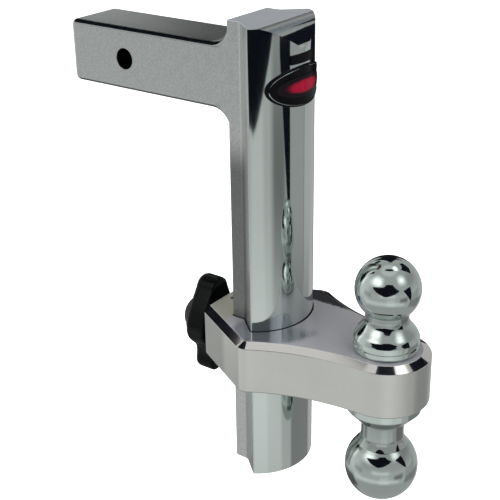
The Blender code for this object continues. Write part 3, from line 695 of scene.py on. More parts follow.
def chrome():
    """Bright plate over a ground ball: a faint orange peel and fine turning lines."""
    n = Nodes("chrome_plate", (0.62, 0.68, 0.655), 1.0, 0.06)
    haze = n.noise(55.0, 4.0)
    speck = n.noise(900.0, 2.0)
    z = n.axes()[2]
    lower = hollow(n, z, DECK_LOW.z, LOWER_HOLLOW)
    upper = hollow(n, z, UPPER_LOW.z, UPPER_HOLLOW)
    plate = n.mix(haze, (0.58, 0.645, 0.62), (0.66, 0.715, 0.69))
    # Painted shade: the plate is dimmed on the balls' hollow necks.
    n.colour(n.shaded(n.math("MAXIMUM", lower, upper), plate, 0.70))
    n.roughness(n.plus(n.ranged(haze, 0.03, 0.11), n.ranged(speck, -0.01, 0.02)))
    n.height(n.noise(160.0, 2.0), 0.000018)
    n.height(n.noise((6.0, 6.0, 2600.0), 1.0), 0.0000012)
    return n.done()


def black_plastic():
    """Glossy moulded nylon with a very fine texture and handling smears."""
    n = Nodes("black_nylon", (0.002, 0.002, 0.003), 0.0, 0.1)
    n.inputs["Specular IOR Level"].default_value = PLASTIC_SPECULAR
    smear = n.noise((60.0, 90.0, 25.0), 4.0)
    speck = n.noise(2600.0, 2.0)
    n.colour(n.mix(smear, (0.0012, 0.0013, 0.0016), (0.0030, 0.0034, 0.0036)))
    n.roughness(n.plus(n.ranged(smear, 0.06, 0.14), n.ranged(speck, -0.02, 0.02)))
    n.height(speck, 0.000005)
    n.height(n.noise(120.0, 2.0), 0.00004)
    return n.done()


def clouded(name, metallic, colours, cloud, dull, *bumps, contrast=None, specular=0.5):
    """Colour and roughness that follow one noise. cloud is its (scale, detail), and each of
    the bumps is (scale, detail, metres)."""
    n = Nodes(name, colours[1], metallic, dull[1])
    patches = n.noise(*cloud)
    n.colour(n.mix(n.smooth(patches, *contrast) if contrast else patches, *colours))
    n.roughness(n.ranged(patches, *dull))
    n.inputs["Specular IOR Level"].default_value = specular
    for scale, detail, metres in bumps:
        n.height(n.noise(scale, detail), metres)
    return n.done()


def black_rubber():
    colours = ((0.016, 0.016, 0.016), (0.045, 0.044, 0.041))
    bump = (2200.0, 3.0, 0.00002)
    dust = (180.0, 5.0)
    return clouded("cap_rubber", 0.0, colours, dust, (0.45, 0.75), bump, contrast=(0.45, 0.8))


def plated_steel(name, tint, base_roughness):
    """Zinc plated steel with a faint spangle and turning lines."""
    colours = (tuple(0.82 * c for c in tint), tint)
    dull = (base_roughness - 0.08, base_roughness + 0.10)
    turning = ((3000.0, 60.0, 60.0), 2.0, 0.000004)
    return clouded(name, 1.0, colours, (140.0, 4.0), dull, turning, (1200.0, 2.0, 0.000004))


def brass():
    colours = ((0.52, 0.35, 0.14), (0.82, 0.63, 0.31))
    turning = ((3000.0, 200.0, 200.0), 2.0, 0.000004)
    return clouded("plug_brass", 1.0, colours, (400.0, 5.0), (0.18, 0.42), turning)


def nylon():
    colours = ((0.68, 0.66, 0.60), (0.80, 0.79, 0.75))
    return clouded("washer_nylon", 0.0, colours, (300.0, 3.0), (0.42, 0.58), (2400.0, 2.0, 0.00001))


def black_enamel():
    """Gloss enamel, with slight waves."""
    colours = ((0.002, 0.002, 0.003), (0.006, 0.006, 0.007))
    dull = (0.16, 0.30)
    waves = (700.0, 2.0, 0.000006)
    return clouded("black_enamel", 0.0, colours, (160.0, 3.0), dull, waves, specular=ENAMEL_SPECULAR)


def red_enamel():
    """Dark red enamel that runs to black towards the field's edge."""
    n = Nodes("red_enamel", (0.2, 0.005, 0.02), 0.0, 0.2)
    _, y, z = n.axes()
    across = n.math("DIVIDE", y, EMBLEM_HALF_W * RED_SHARE[0])
    along = n.math("DIVIDE", n.minus(z, EMBLEM_Z), EMBLEM_HALF_H * RED_SHARE[1])
    cloud = n.noise(420.0, 4.0)
    field = n.smooth(n.added(cloud, 0.8, n.squares(across, along)), 1.50, 0.75)
    red = n.mix(cloud, (0.16, 0.003, 0.014), (0.34, 0.008, 0.035))
    n.colour(n.mix(field, (0.008, 0.006, 0.008), red))
    n.roughness(n.ranged(cloud, 0.16, 0.30))
    n.inputs["Specular IOR Level"].default_value = ENAMEL_SPECULAR
    n.height(n.noise(700.0, 2.0), 0.000006)
    return n.done()


def stage_material(name, colours, scale, glow_colour, glow):
    """Cloth or paper that has no gloss and glows a little."""
    n = Nodes(name, colours[1], 0.0, 1.0)
    n.colour(n.mix(n.noise(scale), *colours))
    n.inputs["Specular IOR Level"].default_value = 0.0
    n.inputs["Emission Color"].default_value = (*glow_colour, 1.0)
    n.inputs["Emission Strength"].default_value = glow
    return n.done()


# ---- post


def ear_points():
    """Where the sloping ear meets the front arc, and that point's angle on the arc."""
    slope = math.tan(math.radians(EAR_SLOPE_DEG))
    x = EAR_ROOT_X
    while (x - FRONT_ARC_X) ** 2 + (WEB_HALF + slope * (x - EAR_ROOT_X)) ** 2 < FRONT_ARC_R**2:
        x += 0.00001
    y = WEB_HALF + slope * (x - EAR_ROOT_X)
    return x, y, math.degrees(math.atan2(y, x - FRONT_ARC_X))


def post_outline():
    """The post's plan: square web behind, sloping ears, then the curved front."""
    x, y, degrees = ear_points()
    front = arc((FRONT_ARC_X, 0.0), FRONT_ARC_R, degrees - EAR_TIP_DEG, 0.0, 88)
    corners = [
        (0.0, 0.0, 0.0),
        (0.0, WEB_HALF, WEB_CORNER),
        (EAR_ROOT_X, WEB_HALF, EAR_FILLET),
        (x, y, EAR_TIP_R),
    ]
    half = rounded([*corners, (*front[0], 0.0)], 10)[1:-1]
    return mirrored(half + [(u, max(v, 0.0)) for u, v in front])


def shank_outline():
    """The shank's side view, with the two elbows that run into the post."""
    half = SHANK_SIDE / 2
    inside = WEB_X + SHANK_ROOT_X
    elbow = half + ELBOW_R
    upper = arc((WEB_X - ELBOW_R, elbow), ELBOW_R, -90, -4, 40)
    lower = arc((WEB_X - ELBOW_R, -elbow), ELBOW_R, 4, 90, 40)
    back = POST_LOW.x + SHANK_END_R
    tip = half - SHANK_END_R
    end = arc((back, tip), SHANK_END_R, 90, 180, 10) + arc((back, -tip), SHANK_END_R, 180, 270, 10)
    root = [(inside, -elbow), (inside, elbow)]
    return [*end, *reversed(lower), *root, *reversed(upper)]


def edge_steps(edge, steps=3):
    """(inset, drop) pairs that round an edge, from where it is inset most to the wall."""
    turns = [math.pi / 2 * k / steps for k in range(steps + 1)]
    return [(edge * (1 - math.sin(t)), edge * (1 - math.cos(t))) for t in turns]


def pillow(name, outline, half_width, edge):
    """An outline in the XZ plane, thick along Y, with its long edges rounded."""
    rings = []
    for inset, drop in edge_steps(edge, 10):
        rings.append([(v, u, drop - half_width) for u, v in offset(outline, -inset)])
    rings += [[(u, v, -w) for u, v, w in ring] for ring in reversed(rings)]
    return stacked(name, rings, "Y")


def chamfered_hole(name, radius, low, high, axis, origin, mouths):
    """A round cutter. mouths gives, for an end, the surface where it widens by a small chamfer."""
    wide = radius + HOLE_CHAMFER
    clear = wide + 0.002
    profile = [(0.0, low)]
    if low in mouths:
        profile += [(clear, low), (clear, mouths[low]), (wide, mouths[low])]
        profile.append((radius, mouths[low] + HOLE_CHAMFER))
    else:
        profile.append((radius, low))
    if high in mouths:
        profile.append((radius, mouths[high] - HOLE_CHAMFER))
        profile += [(wide, mouths[high]), (clear, mouths[high]), (clear, high)]
    else:
        profile.append((radius, high))
    profile.append((0.0, high))
    return turned(name, profile, axis, origin, 72)


def from_web(outline):
    """An outline moved from the web's rear face to its place."""
    return [(WEB_X + u, v) for u, v in outline]


def build_post():
    outline = from_web(post_outline())
    bottom = [(inset, POST_LOW.z + drop) for inset, drop in edge_steps(POST_EDGE)]
    top = [(inset, POST_HIGH.z - drop) for inset, drop in edge_steps(POST_EDGE)]
    belts = [(0.0, POST_LOW.z + 0.004), (0.0, CROWN_Z - 0.0006)]
    rings = []
    for inset, z in [*bottom, *belts, *reversed(top)]:
        plan = offset(outline, -inset) if inset > 0 else outline
        rings.append([(u, v, z) for u, v in plan])
    post = stacked("hitch_post", rings)
    join(post, pillow("shank_form", shank_outline(), SHANK_SIDE / 2, SHANK_EDGE))
    crown = arc((WEB_X + CROWN_START_X, CROWN_Z), CROWN_R, 87, -2, 56)
    past = POST_HIGH.x + 0.018
    above = POST_HIGH.z + 0.010
    side = [*crown, (past, crown[-1][1]), (past, above), (crown[0][0], above)]
    cut(post, prism("crown_cutter", [(v, u) for u, v in side], -0.06, 0.06, "Y"))
    mouths = {-0.03: -SHANK_SIDE / 2, 0.03: SHANK_SIDE / 2}
    cut(post, chamfered_hole("pin_cutter", PIN_HOLE_R, -0.03, 0.03, "Y", (0, 0, 0), mouths))
    for step in HOLE_STEPS:
        centre = web_point(0.0, LOCK_Z + HOLE_PITCH * step)
        ends = (-0.005, HEIGHT_HOLE_DEPTH)
        cut(post, chamfered_hole("height_cutter", HEIGHT_HOLE_R, *ends, "X", centre, {-0.005: 0.0}))
    settle(post)
    return finished(smoothed(post), "post", post_metal(), "satin_aluminium", "drop_post")


# ---- platform


def deck_outline():
    """Half plan of the platform: flat rear, shoulders, waist and the round ball boss."""
    slope = math.tan(math.radians(SHOULDER_SLOPE_DEG))
    waist_y = BOSS_R + WAIST_R
    ball_x = BALL_X - WEB_X
    rear_x = DECK_LOW.x - WEB_X

    def waist(x):
        return waist_y - math.sqrt(WAIST_R**2 - (ball_x - x) ** 2)

    x = 0.0
    while DECK_REAR_HALF + slope * (x - rear_x) < waist(x):
        x += 0.00001
    shoulder = (x, DECK_REAR_HALF + slope * (x - rear_x), SHOULDER_R)
    side = [(u, waist(u)) for u in np.linspace(x + 0.010, ball_x, 56)]
    boss = arc((ball_x, 0.0), BOSS_R, 90, 0, 72)
    rear = [(rear_x, 0.0, 0.0), (rear_x, DECK_REAR_HALF, 0.0)]
    half = rounded([*rear, shoulder, (*side[0], 0.0)], 24)[1:-1]
    return half + side + [(u, max(v, 0.0)) for u, v in boss[1:]]


def inset_deck(outline, distance):
    """The platform's outline moved in, except across its flat rear face."""
    moved = offset(outline, -distance)
    slope = math.radians(SHOULDER_SLOPE_DEG)
    rear_x = DECK_LOW.x - WEB_X
    kept = DECK_REAR_HALF - distance / math.cos(slope)
    result = []
    for (u, v), (x, y) in zip(moved, outline):
        if x <= rear_x + 1e-6:
            u = rear_x
            v = math.copysign(min(abs(y), kept), y)
        result.append((u, v))
    return result


def build_deck():
    outline = mirrored(deck_outline())
    low, high = DECK_LOW.z, DECK_HIGH.z
    soft = DECK_SOFT
    layers = [
        (UNDER_CHAMFER, low),
        (soft * 0.4, low + UNDER_CHAMFER - soft * 0.4),
        (0.0, low + UNDER_CHAMFER + soft),
        (0.0, high - CHAMFER_DOWN - soft),
        (soft * 0.5, high - CHAMFER_DOWN + soft * 0.2),
        (CHAMFER_IN - soft, high - soft * 0.4),
        (CHAMFER_IN + soft, high),
    ]
    rings = []
    for distance, z in layers:
        plan = inset_deck(outline, distance) if distance > 0 else outline
        rings.append([(u, v, z) for u, v in from_web(plan)])
    deck = stacked("sliding_deck", rings)
    window = from_web(offset(post_outline(), POST_GAP))
    cut(deck, prism("window_cutter", window, low - 0.01, high + 0.01))
    ball_centre = (BALL_X, 0, 0)
    cut(deck, rod("ball_bore_cutter", BALL_BORE_R, low - 0.01, high + 0.01, "Z", ball_centre))
    cut(deck, rod("lock_bore_cutter", LOCK_BORE_R, -0.04, 0.004, "X", LOCK_POINT))
    screw = web_point(SET_SCREW_X)
    cut(deck, rod("screw_cutter", SET_SCREW_HOLE_R, LOCK_Z, high + 0.01, "Z", screw, 48))
    settle(deck)
    return finished(smoothed(deck), "platform", deck_metal(), "machined_aluminium", "ball_platform")


# ---- balls


def raised(points, base):
    """(radius, height) points with their heights counted from base."""
    return [(radius, base + height) for radius, height in points]


def build_upper_ball(metal):
    neck_top = UPPER_Z - math.sqrt(UPPER_R**2 - NECK_R**2)
    waist = [(NECK_R, neck_top - 0.0030), (NECK_R + 0.0001, neck_top - 0.0058)]
    flare = [
        (NECK_R + 0.0011, 0.0228),
        (NECK_R + 0.0035, 0.0192),
        (NECK_R + 0.0066, 0.0154),
        (BASE_R - 0.0006, 0.0123),
        (BASE_R, 0.0108),
    ]
    foot = [
        (BASE_R, 0.0072),
        (BASE_R - GROOVE, 0.0066),
        (BASE_R - GROOVE, 0.0058),
        (BASE_R, 0.0052),
        (BASE_R, 0.0022),
        (BASE_R - BASE_STEP, 0.0012),
        (BASE_R - BASE_STEP, 0.0),
        (SOCKET_R, 0.0),
    ]
    profile = [(0.0, UPPER_HIGH.z), *arc((0, UPPER_Z), UPPER_R, 90, -47, 90)[1:]]
    profile.append((NECK_R + 0.0002, neck_top - 0.0008))
    profile += curve_through(waist + raised(flare, UPPER_LOW.z), 10)
    profile += raised(foot, UPPER_LOW.z)
    profile += raised([(SOCKET_R, 0.0015), (0.0, 0.0060)], LOWER_HIGH.z)
    ball = turned("upper_tow_ball", profile, "Z", (BALL_X, 0, 0))
    pin = (BALL_X, 0, ROLL_PIN_Z)
    cut(ball, rod("upper_pin_cutter", ROLL_PIN_HOLE_R, 0.0, 0.04, "Y", pin, 40))
    settle(ball)
    return finished(smoothed(ball, TURNED_SHARP_DEG), "platform", metal, "chromed_steel", "upper_ball")


def build_lower_ball(metal):
    collar_top = DECK_LOW.z - GAP
    neck_z = LOWER_Z + math.sqrt(LOWER_R**2 - NECK_R**2)
    ball = arc((0, LOWER_Z), LOWER_R, 47, -78, 90)
    neck = raised([(NECK_R + 0.0008, -0.0192), (NECK_R + 0.0001, -0.0213)], DECK_LOW.z)
    neck += raised([(NECK_R, 0.0068), (NECK_R + 0.0004, 0.0036), (NECK_R + 0.0014, 0.0008)], neck_z)
    neck.append(ball[0])
    under = raised([(0.0217, -0.0178), (0.0213, -0.0183), (0.0205, -0.0185)], DECK_LOW.z)
    profile = [
        (0.0, LOWER_HIGH.z),
        (STUD_R - 0.0015, LOWER_HIGH.z),
        (STUD_R, LOWER_HIGH.z - 0.0015),
        (STUD_R, collar_top),
        *arc((COLLAR_R, collar_top - 0.0008), 0.0008, 90, 0, 5),
        *arc((COLLAR_R - 0.0004, collar_top - 0.0078), 0.0012, 0, -52, 6),
        *under,
        *curve_through(neck, 6),
        *ball[1:],
        (0.0, ball[-1][1]),
    ]
    lower = turned("lower_tow_ball", profile, "Z", (BALL_X, 0, 0))
    bottom = (BALL_X, 0, LOWER_Z - LOWER_R)
    cut(lower, prism("hex_cutter", circle(HEX_R, 6), -0.01, HEX_DEPTH, "Z", bottom))
    pin = (BALL_X, 0, ROLL_PIN_Z)
    cut(lower, rod("stud_pin_cutter", ROLL_PIN_HOLE_R, 0.0015, 0.04, "Y", pin, 40))
    settle(lower)
    return finished(smoothed(lower, TURNED_SHARP_DEG), "platform", metal, "chromed_steel", "lower_ball")


# ---- handle


def wing_outline():
    """The handle's wings seen from behind: a broad one above and a narrow one below."""
    upper = arc((0, WING_UP - WING_UP_R), WING_UP_R, 90, 12, 16)
    flank = [
        upper[-1],
        (WING_UP_R + 0.0050, WING_BELLY * 0.82),
        (WING_BELLY - 0.0028, WING_BELLY * 0.36),
        (WING_BELLY, -WING_BELLY * 0.14),
        (WING_BELLY - 0.0030, -WING_BELLY * 0.66),
        (WING_DOWN_R + 0.0010, -WING_BELLY * 1.15),
    ]
    lower = arc((0, WING_DOWN_R - WING_DOWN), WING_DOWN_R, -10, -90, 16)
    middle = curve_through([*flank, lower[0]], 8)[1:-1]
    half = [(max(u, 0.0), v) for u, v in [*upper, *middle, *lower]]
    whole = half + [(-u, v) for u, v in reversed(half) if u > 1e-9]
    tilt = math.radians(WING_TILT_DEG)
    across, along = math.cos(tilt), math.sin(tilt)
    return [(u * across + v * along, v * across - u * along) for u, v in whole]


def build_handle():
    outline = wing_outline()
    front = edge_steps(WING_FRONT_EDGE, 5)
    rear = edge_steps(WING_REAR_EDGE, 9)
    layers = [(inset, WING_FRONT_X - drop) for inset, drop in front]
    layers += [(inset, WING_REAR_X + drop) for inset, drop in reversed(rear)]
    rings = [[(u, v, x) for u, v in offset(outline, -inset)] for inset, x in layers]
    handle = stacked("lock_handle", rings, "X", LOCK_POINT)
    dome_centre = (HUB_REAR_X + HUB_DOME_R, HUB_R - HUB_DOME_R)
    dome = [(r, x) for x, r in arc(dome_centre, HUB_DOME_R, 90, 180, 14)]
    hub = [
        (0.0, HANDLE_FRONT_X),
        (HUB_R - 0.001, HANDLE_FRONT_X),
        (HUB_R, HANDLE_FRONT_X - 0.001),
        *dome,
        (0.0, HUB_REAR_X),
    ]
    join(handle, turned("hub_form", hub, "X", LOCK_POINT, 120))
    settle(handle)
    remesh = handle.modifiers.new("moulding", "REMESH")
    remesh.mode = "VOXEL"
    remesh.voxel_size = MOULDING_VOXEL
    blend = handle.modifiers.new("blend", "SMOOTH")
    blend.factor = 0.5
    blend.iterations = MOULDING_BLENDS
    cut(handle, rod("spindle_cutter", SPINDLE_HOLE_R, -0.05, -0.02, "X", LOCK_POINT))
    cut(handle, rod("key_cutter", KEY_HOLE_R, -0.07, -0.047, "X", LOCK_POINT))
    settle(handle)
    handle = smoothed(handle, HANDLE_SHARP_DEG)
    return finished(handle, "handle", black_plastic(), "black_plastic", "turn_handle")


def build_dust_cap():
    """A ribbed rubber cover with a rolled rim."""
    face = CAP_HIGH.x - WEB_X
    rear = CAP_LOW.x - WEB_X
    depth = face - rear
    ribs = []
    for k in range(CAP_RIBS):
        radius = CAP_R * (0.72 - 0.15 * k)
        level = rear + 0.0008 * math.cos(math.pi / 2 * k / 3)
        ribs += [(r, x) for r, x in arc((radius, level), 0.0004, 0, -180, 6)]
    profile = [
        (0.0, face - 0.0010),
        (0.0095, face - 0.0010),
        (0.0099, face),
        (CAP_R - 0.0004, face),
        *[(r, x) for r, x in arc((CAP_R - 0.0010, face - 0.0012), 0.0010, 60, -60, 8)],
        (CAP_R - 0.0011, face - depth * 0.50),
        (CAP_R - 0.0022, face - depth * 0.68),
        *ribs,
        (0.0, rear + 0.0003),
    ]
    cap = turned("rubber_cap", profile, "X", LOCK_POINT, 128)
    pivot = (WEB_X, CAP_PIVOT.y, CAP_PIVOT.z)
    outside = face - 0.02
    cut(cap, rod("cap_hole_cutter", CAP_HOLE_R, outside, face + 0.01, "X", pivot, 32))
    cut(cap, rod("cap_recess_cutter", CAP_RECESS_R, outside, face - 0.0017, "X", pivot, 40))
    settle(cap)
    cap = smoothed(cap, CAP_SHARP_DEG)
    return finished(cap, "cap", black_rubber(), "black_rubber", "dust_cap")


def build_housing(metal):
    """The flanged housing round the lock."""
    flange_r = (HOUSING_HIGH.z - HOUSING_LOW.z) / 2
    rear = HOUSING_LOW.x - WEB_X
    front = HOUSING_HIGH.x - WEB_X
    profile = [
        (SLEEVE_R - 0.0008, front),
        (SLEEVE_R, front - 0.0008),
        (SLEEVE_R, rear + FLANGE_DEPTH),
        (flange_r - GAP, rear + FLANGE_DEPTH),
        (flange_r, rear + FLANGE_DEPTH - GAP),
        (flange_r, rear + 0.0008),
        (flange_r - 0.0008, rear),
        (SLEEVE_BORE_R, rear),
        (SLEEVE_BORE_R, -0.0070),
        (LOCK_PIN_BORE_R, -0.0070),
        (LOCK_PIN_BORE_R, front),
    ]
    housing = smoothed(turned("lock_sleeve", profile, "X", LOCK_POINT, 144), TURNED_SHARP_DEG)
    return finished(housing, "platform", metal, "zinc_steel", "lock_housing")


# ---- badge


def on_arc(u, z, lift):
    """A point on the post's front arc, u along it, at height z and lift proud of it."""
    radius = FRONT_ARC_R + lift
    angle = u / FRONT_ARC_R
    return (ARC_X + radius * math.cos(angle), radius * math.sin(angle), z)


def arc_rings(outline_of, levels, centre_z, steps):
    """The points of rings on the front arc, one for each (scale, lift) level."""
    rings = [(outline_of(share, steps), lift) for share, lift in levels]
    return [on_arc(u, centre_z + v, lift) for ring, lift in rings for u, v in ring]


def badge_solid(name, outline_of, levels, centre_z, steps=144):
    """A solid on the front arc, skinned over levels of (scale, lift)."""
    points = arc_rings(outline_of, levels, centre_z, steps)
    count = len(points) // len(levels)
    faces = skin(len(levels), count)
    last = len(points) - count
    points.append(on_arc(0.0, centre_z, levels[-1][1]))
    points.append(on_arc(0.0, centre_z, levels[0][1]))
    for k in range(count):
        after = (k + 1) % count
        faces.append((last + k, last + after, len(points) - 2))
        faces.append((after, k, len(points) - 1))
    return mesh_object(name, points, faces)


def hoop(name, levels, centre_z, steps=144):
    """A closed ring on the front arc, skinned round its own section."""
    points = arc_rings(oval, levels, centre_z, steps)
    return mesh_object(name, points, skin(len(levels), steps, closed=True))


def oval(share, steps):
    turns = [math.tau * k / steps for k in range(steps)]
    half_w = EMBLEM_HALF_W * share
    half_h = EMBLEM_HALF_H * share
    return [(half_w * math.cos(a), half_h * math.sin(a)) for a in turns]


def flat_oval(share, steps):
    """The red field: a flatter oval than the plate's."""
    wide, tall = FIELD_STRETCH
    return [(u * wide, v * tall) for u, v in oval(share, steps)]


def strip(share, _steps):
    """A rounded rectangle for the blank plate above the badge."""
    along = PLATE_HALF_W - PLATE_CORNER
    rise = PLATE_HALF_H - PLATE_CORNER
    edge = [(u, PLATE_HALF_H) for u in np.linspace(along, -along, 25)[1:-1]]
    result = []
    for side, start in ((1, 0), (-1, 180)):
        result += arc((side * along, side * rise), PLATE_CORNER, start, start + 90, 5)
        result += [(side * u, side * v) for u, v in edge]
        result += arc((-side * along, side * rise), PLATE_CORNER, start + 90, start + 180, 5)
    return [(share * u, share * v) for u, v in result]


def level_rings(lift, *shares):
    return [(share, lift) for share in shares]


def build_badge(black, red, bright):
    rim = [(1.0, GAP), (1.0, GAP + 0.0007), (0.992, GAP + 0.0009), (0.978, GAP + 0.0010)]
    top = GAP + 0.00085
    fill = level_rings(top, 0.965, 0.9, 0.7, 0.5, 0.3, 0.15, 0.05)
    plate = badge_solid("badge_plate", oval, rim + fill, EMBLEM_Z)
    finished(smoothed(plate, BADGE_SHARP_DEG), "post", black, "black_enamel", "front_emblem")
    line = [(0.925, top), (0.922, top + 0.0003), (0.914, top + 0.0004)]
    line += [(0.906, top + 0.0003), (0.903, top)]
    ring = hoop("badge_line", line, EMBLEM_Z)
    finished(smoothed(ring, BADGE_SHARP_DEG), "post", bright, "chromed_steel")
    field = [(0.62, top + 0.0001), (0.62, top + 0.0004), (0.605, top + 0.00055)]
    field += level_rings(top + 0.00065, 0.5, 0.35, 0.2, 0.08)
    inlay = badge_solid("badge_field", flat_oval, field, EMBLEM_Z)
    finished(smoothed(inlay, BADGE_SHARP_DEG), "post", red, "red_enamel", "emblem_inlay")
    label_top = GAP + 0.0007
    blank = [(1.0, GAP), (1.0, GAP + 0.0005), *level_rings(label_top, 0.975, 0.8, 0.6, 0.4, 0.2)]
    label = badge_solid("blank_plate", strip, blank, PLATE_Z)
    finished(smoothed(label, BADGE_SHARP_DEG), "post", black, "black_enamel", "front_plate")


# ---- nodes that stay as CAD


def dress_cad_nodes(steel, spring, chromed):
    looks = {
        steel: ("lock_pin", "cam_sleeve", "key_cylinder", "plug_cam", "dust_cap_screw"),
        spring: (
            "ball_roll_pin",
            "housing_set_screw",
            "cam_follower_pin",
            "sleeve_circlip",
            "detent_spring",
            "handle_roll_pin",
            "plug_clip",
        ),
        chromed: ("detent_ball",),
        brass(): ("key_plug",),
        nylon(): ("thrust_washer",),
    }
    for material, names in looks.items():
        for name in names:
            node = NODES[name]
            node.data.materials.clear()
            node.data.materials.append(material)


# ---- studio and camera

SKY_TINT = (0.97, 1.0, 0.985)
SKY_LOW, SKY_HIGH = 0.50, 0.45
ZENITH_GAIN = 0.18
NADIR_LOSS = 0.09
# The soft patches of the studio's sky, in degrees: azimuth, elevation, half width, half height
# and softness, and how much each one adds or takes away.
BRIGHT_PATCHES = (
    ((-110, 38, 20, 11, 15), 1.5),
    ((2, 42, 15, 9, 13), 1.2),
    ((62, 70, 22, 5, 5), 1.5),
    ((180, 8, 50, 30, 16), 0.24),
    ((-75, -31, 72, 6, 5), 0.20),
    ((-50, -33, 16, 6, 5), 0.10),
    ((-50, -20, 13, 5, 5), 0.14),
    ((-62, -2, 26, 5, 8), 0.30),
    ((-166, 14, 6, 12, 6), 0.5),
)
DARK_PATCHES = (
    ((127, -22, 19, 15, 6), 0.92),
    ((155, -14, 14, 7, 5), 0.80),
    ((42, 26, 26, 14, 10), 0.28),
    ((-6, -20, 14, 7, 7), 0.62),
    ((-133, -9, 14, 6, 7), 0.42),
    ((165, -44, 38, 11, 5), 0.75),
    ((143, 12, 9, 8, 7), 0.40),
    ((36, -18, 19, 10, 1.5), 0.22),
    ((50, -34, 30, 8, 4), 0.50),
    ((56, -12, 1.2, 14, 0.8), 0.40),
)
GABLE_AZ_DEG = 120
GABLE_HALF_DEG = 15
GABLE_TOP_DEG = 63
GABLE_DEPTH = 0.97


class WorldNodes(Nodes):
    """The same for the world, with azimuth and elevation in radians."""

    def __init__(self, name):
        world = bpy.data.worlds.new(name)
        bpy.context.scene.world = world
        world.use_nodes = True
        self.tree = world.node_tree
        self.inputs = self.tree.nodes["Background"].inputs
        self.coordinates = self.tree.nodes.new("ShaderNodeTexCoord")
        self.position = self.coordinates.outputs["Generated"]
        x, y, z = self.axes()
        self.azimuth = self.math("ARCTAN2", y, x)
        self.elevation = self.math("ARCSINE", z)

    def risen(self, low_deg, high_deg):
        return self.smooth(self.elevation, math.radians(low_deg), math.radians(high_deg))

    def turned_from(self, degrees):
        """How far the azimuth is from an angle, either way round."""
        turn = self.minus(self.azimuth, math.radians(degrees))
        return self.math("ABSOLUTE", self.math("WRAP", turn, math.pi, -math.pi))

    def patch(self, centre_az, centre_el, half_az, half_el, soft):
        """1 inside a soft-edged patch of sky and 0 outside. Angles are in degrees."""
        rise = self.math("ABSOLUTE", self.minus(self.elevation, math.radians(centre_el)))
        masks = []
        for away, half in ((self.turned_from(centre_az), half_az), (rise, half_el)):
            masks.append(self.smooth(away, math.radians(half + soft), math.radians(half - soft)))
        return self.times(*masks)

    def gable(self, centre_az, half_az, top):
        """1 inside a tall gable that narrows upwards to top. Angles are in degrees."""
        share = self.math("DIVIDE", self.elevation, math.radians(top))
        narrow = self.added(share, -math.radians(half_az), math.radians(half_az))
        inside = self.smooth(self.minus(narrow, self.turned_from(centre_az)), -0.01, 0.03)
        return self.times(inside, self.risen(-12, -8))


def build_world():
    n = WorldNodes("studio")
    level = n.mix(n.risen(-4, 4), SKY_LOW, SKY_HIGH)
    level = n.added(n.risen(62, 72), ZENITH_GAIN, level)
    level = n.added(n.risen(-38, -46), -NADIR_LOSS, level)
    for patch, strength in BRIGHT_PATCHES:
        level = n.added(n.patch(*patch), strength, level)
    masks = [(n.patch(*patch), depth) for patch, depth in DARK_PATCHES]
    masks.append((n.gable(GABLE_AZ_DEG, GABLE_HALF_DEG, GABLE_TOP_DEG), GABLE_DEPTH))
    for mask, depth in masks:
        level = n.times(level, n.minus(1.0, n.times(mask, depth)))
    n.link(level, n.inputs["Strength"])
    n.inputs["Color"].default_value = (*SKY_TINT, 1.0)


# Black flags round the hitch that only its reflections see. Each step of an outline is
# (azimuth in degrees, low z, high z).
FLAG_RADIUS = 0.45
FLAG_CENTRE_X = 0.168
FLAGS = {
    "lens": (
        (-110, -0.010, -0.004), (-101, -0.057, 0.025), (-90, -0.105, 0.050),
        (-78, -0.138, 0.068), (-68, -0.170, 0.085), (-62, -0.178, 0.168),
        (-57, -0.174, 0.172), (-52, -0.164, 0.175), (-44, -0.143, 0.162),
        (-38, -0.126, 0.152), (-32, -0.108, 0.060), (-26, -0.086, 0.000),
        (-20, -0.058, -0.040),
    ),
    "wedge": (
        (-7, -0.092, -0.070), (0, -0.171, -0.065), (9, -0.272, -0.060), (17, -0.330, -0.060),
    ),
    "edge": (
        (136, 0.170, 0.330), (146, 0.168, 0.340), (152, 0.150, 0.290),
        (160, 0.128, 0.220), (168, 0.145, 0.180),
    ),
    "shoulder": ((158, -0.020, 0.080), (170, -0.030, 0.085), (182, -0.020, 0.080)),
    "crown": (
        (44, 0.300, 0.440), (49, 0.060, 0.440), (58, 0.055, 0.360),
        (66, 0.060, 0.330), (80, 0.160, 0.320),
    ),
}
# The flag behind the upper ball, nearer to it. Each step is (azimuth, high z).
BALL_FLAG = (
    (148, -0.050), (134, 0.045), (122, 0.115), (111, 0.185),
    (107, 0.070), (104, -0.015), (96, -0.050),
)
BALL_FLAG_LOW = -0.055
BALL_FLAG_RADIUS = 0.20
# The flags that lie flat: an ellipse overhead and a panel just above the shank.
OVERHEAD_FLAG_CENTRE = (0.243, -0.003, 0.290)
OVERHEAD_FLAG_HALF = (0.098, 0.034)
OVERHEAD_FLAG_TURN_DEG = 31.0
OVERHEAD_FLAG_STEPS = 48
SHANK_FLAG_LOW = (-0.125, -0.095)
SHANK_FLAG_HIGH = (0.082, -0.003)
SHANK_FLAG_Z = 0.052


def flag_of(name, points, faces, material):
    """A flag that only reflections see."""
    flag = mesh_object(f"studio_flag_{name}", points, faces)
    flag.data.materials.append(material)
    flag.visible_camera = False
    flag.visible_diffuse = False
    flag.visible_shadow = False


def round_flag(name, centre_x, radius, edges, material):
    """A flag bent round an upright line."""
    points = []
    for azimuth, low, high in edges:
        turn = math.radians(azimuth)
        x = centre_x + radius * math.cos(turn)
        y = radius * math.sin(turn)
        points += [(x, y, low), (x, y, high)]
    faces = [(2 * k, 2 * k + 2, 2 * k + 3, 2 * k + 1) for k in range(len(edges) - 1)]
    flag_of(name, points, faces, material)


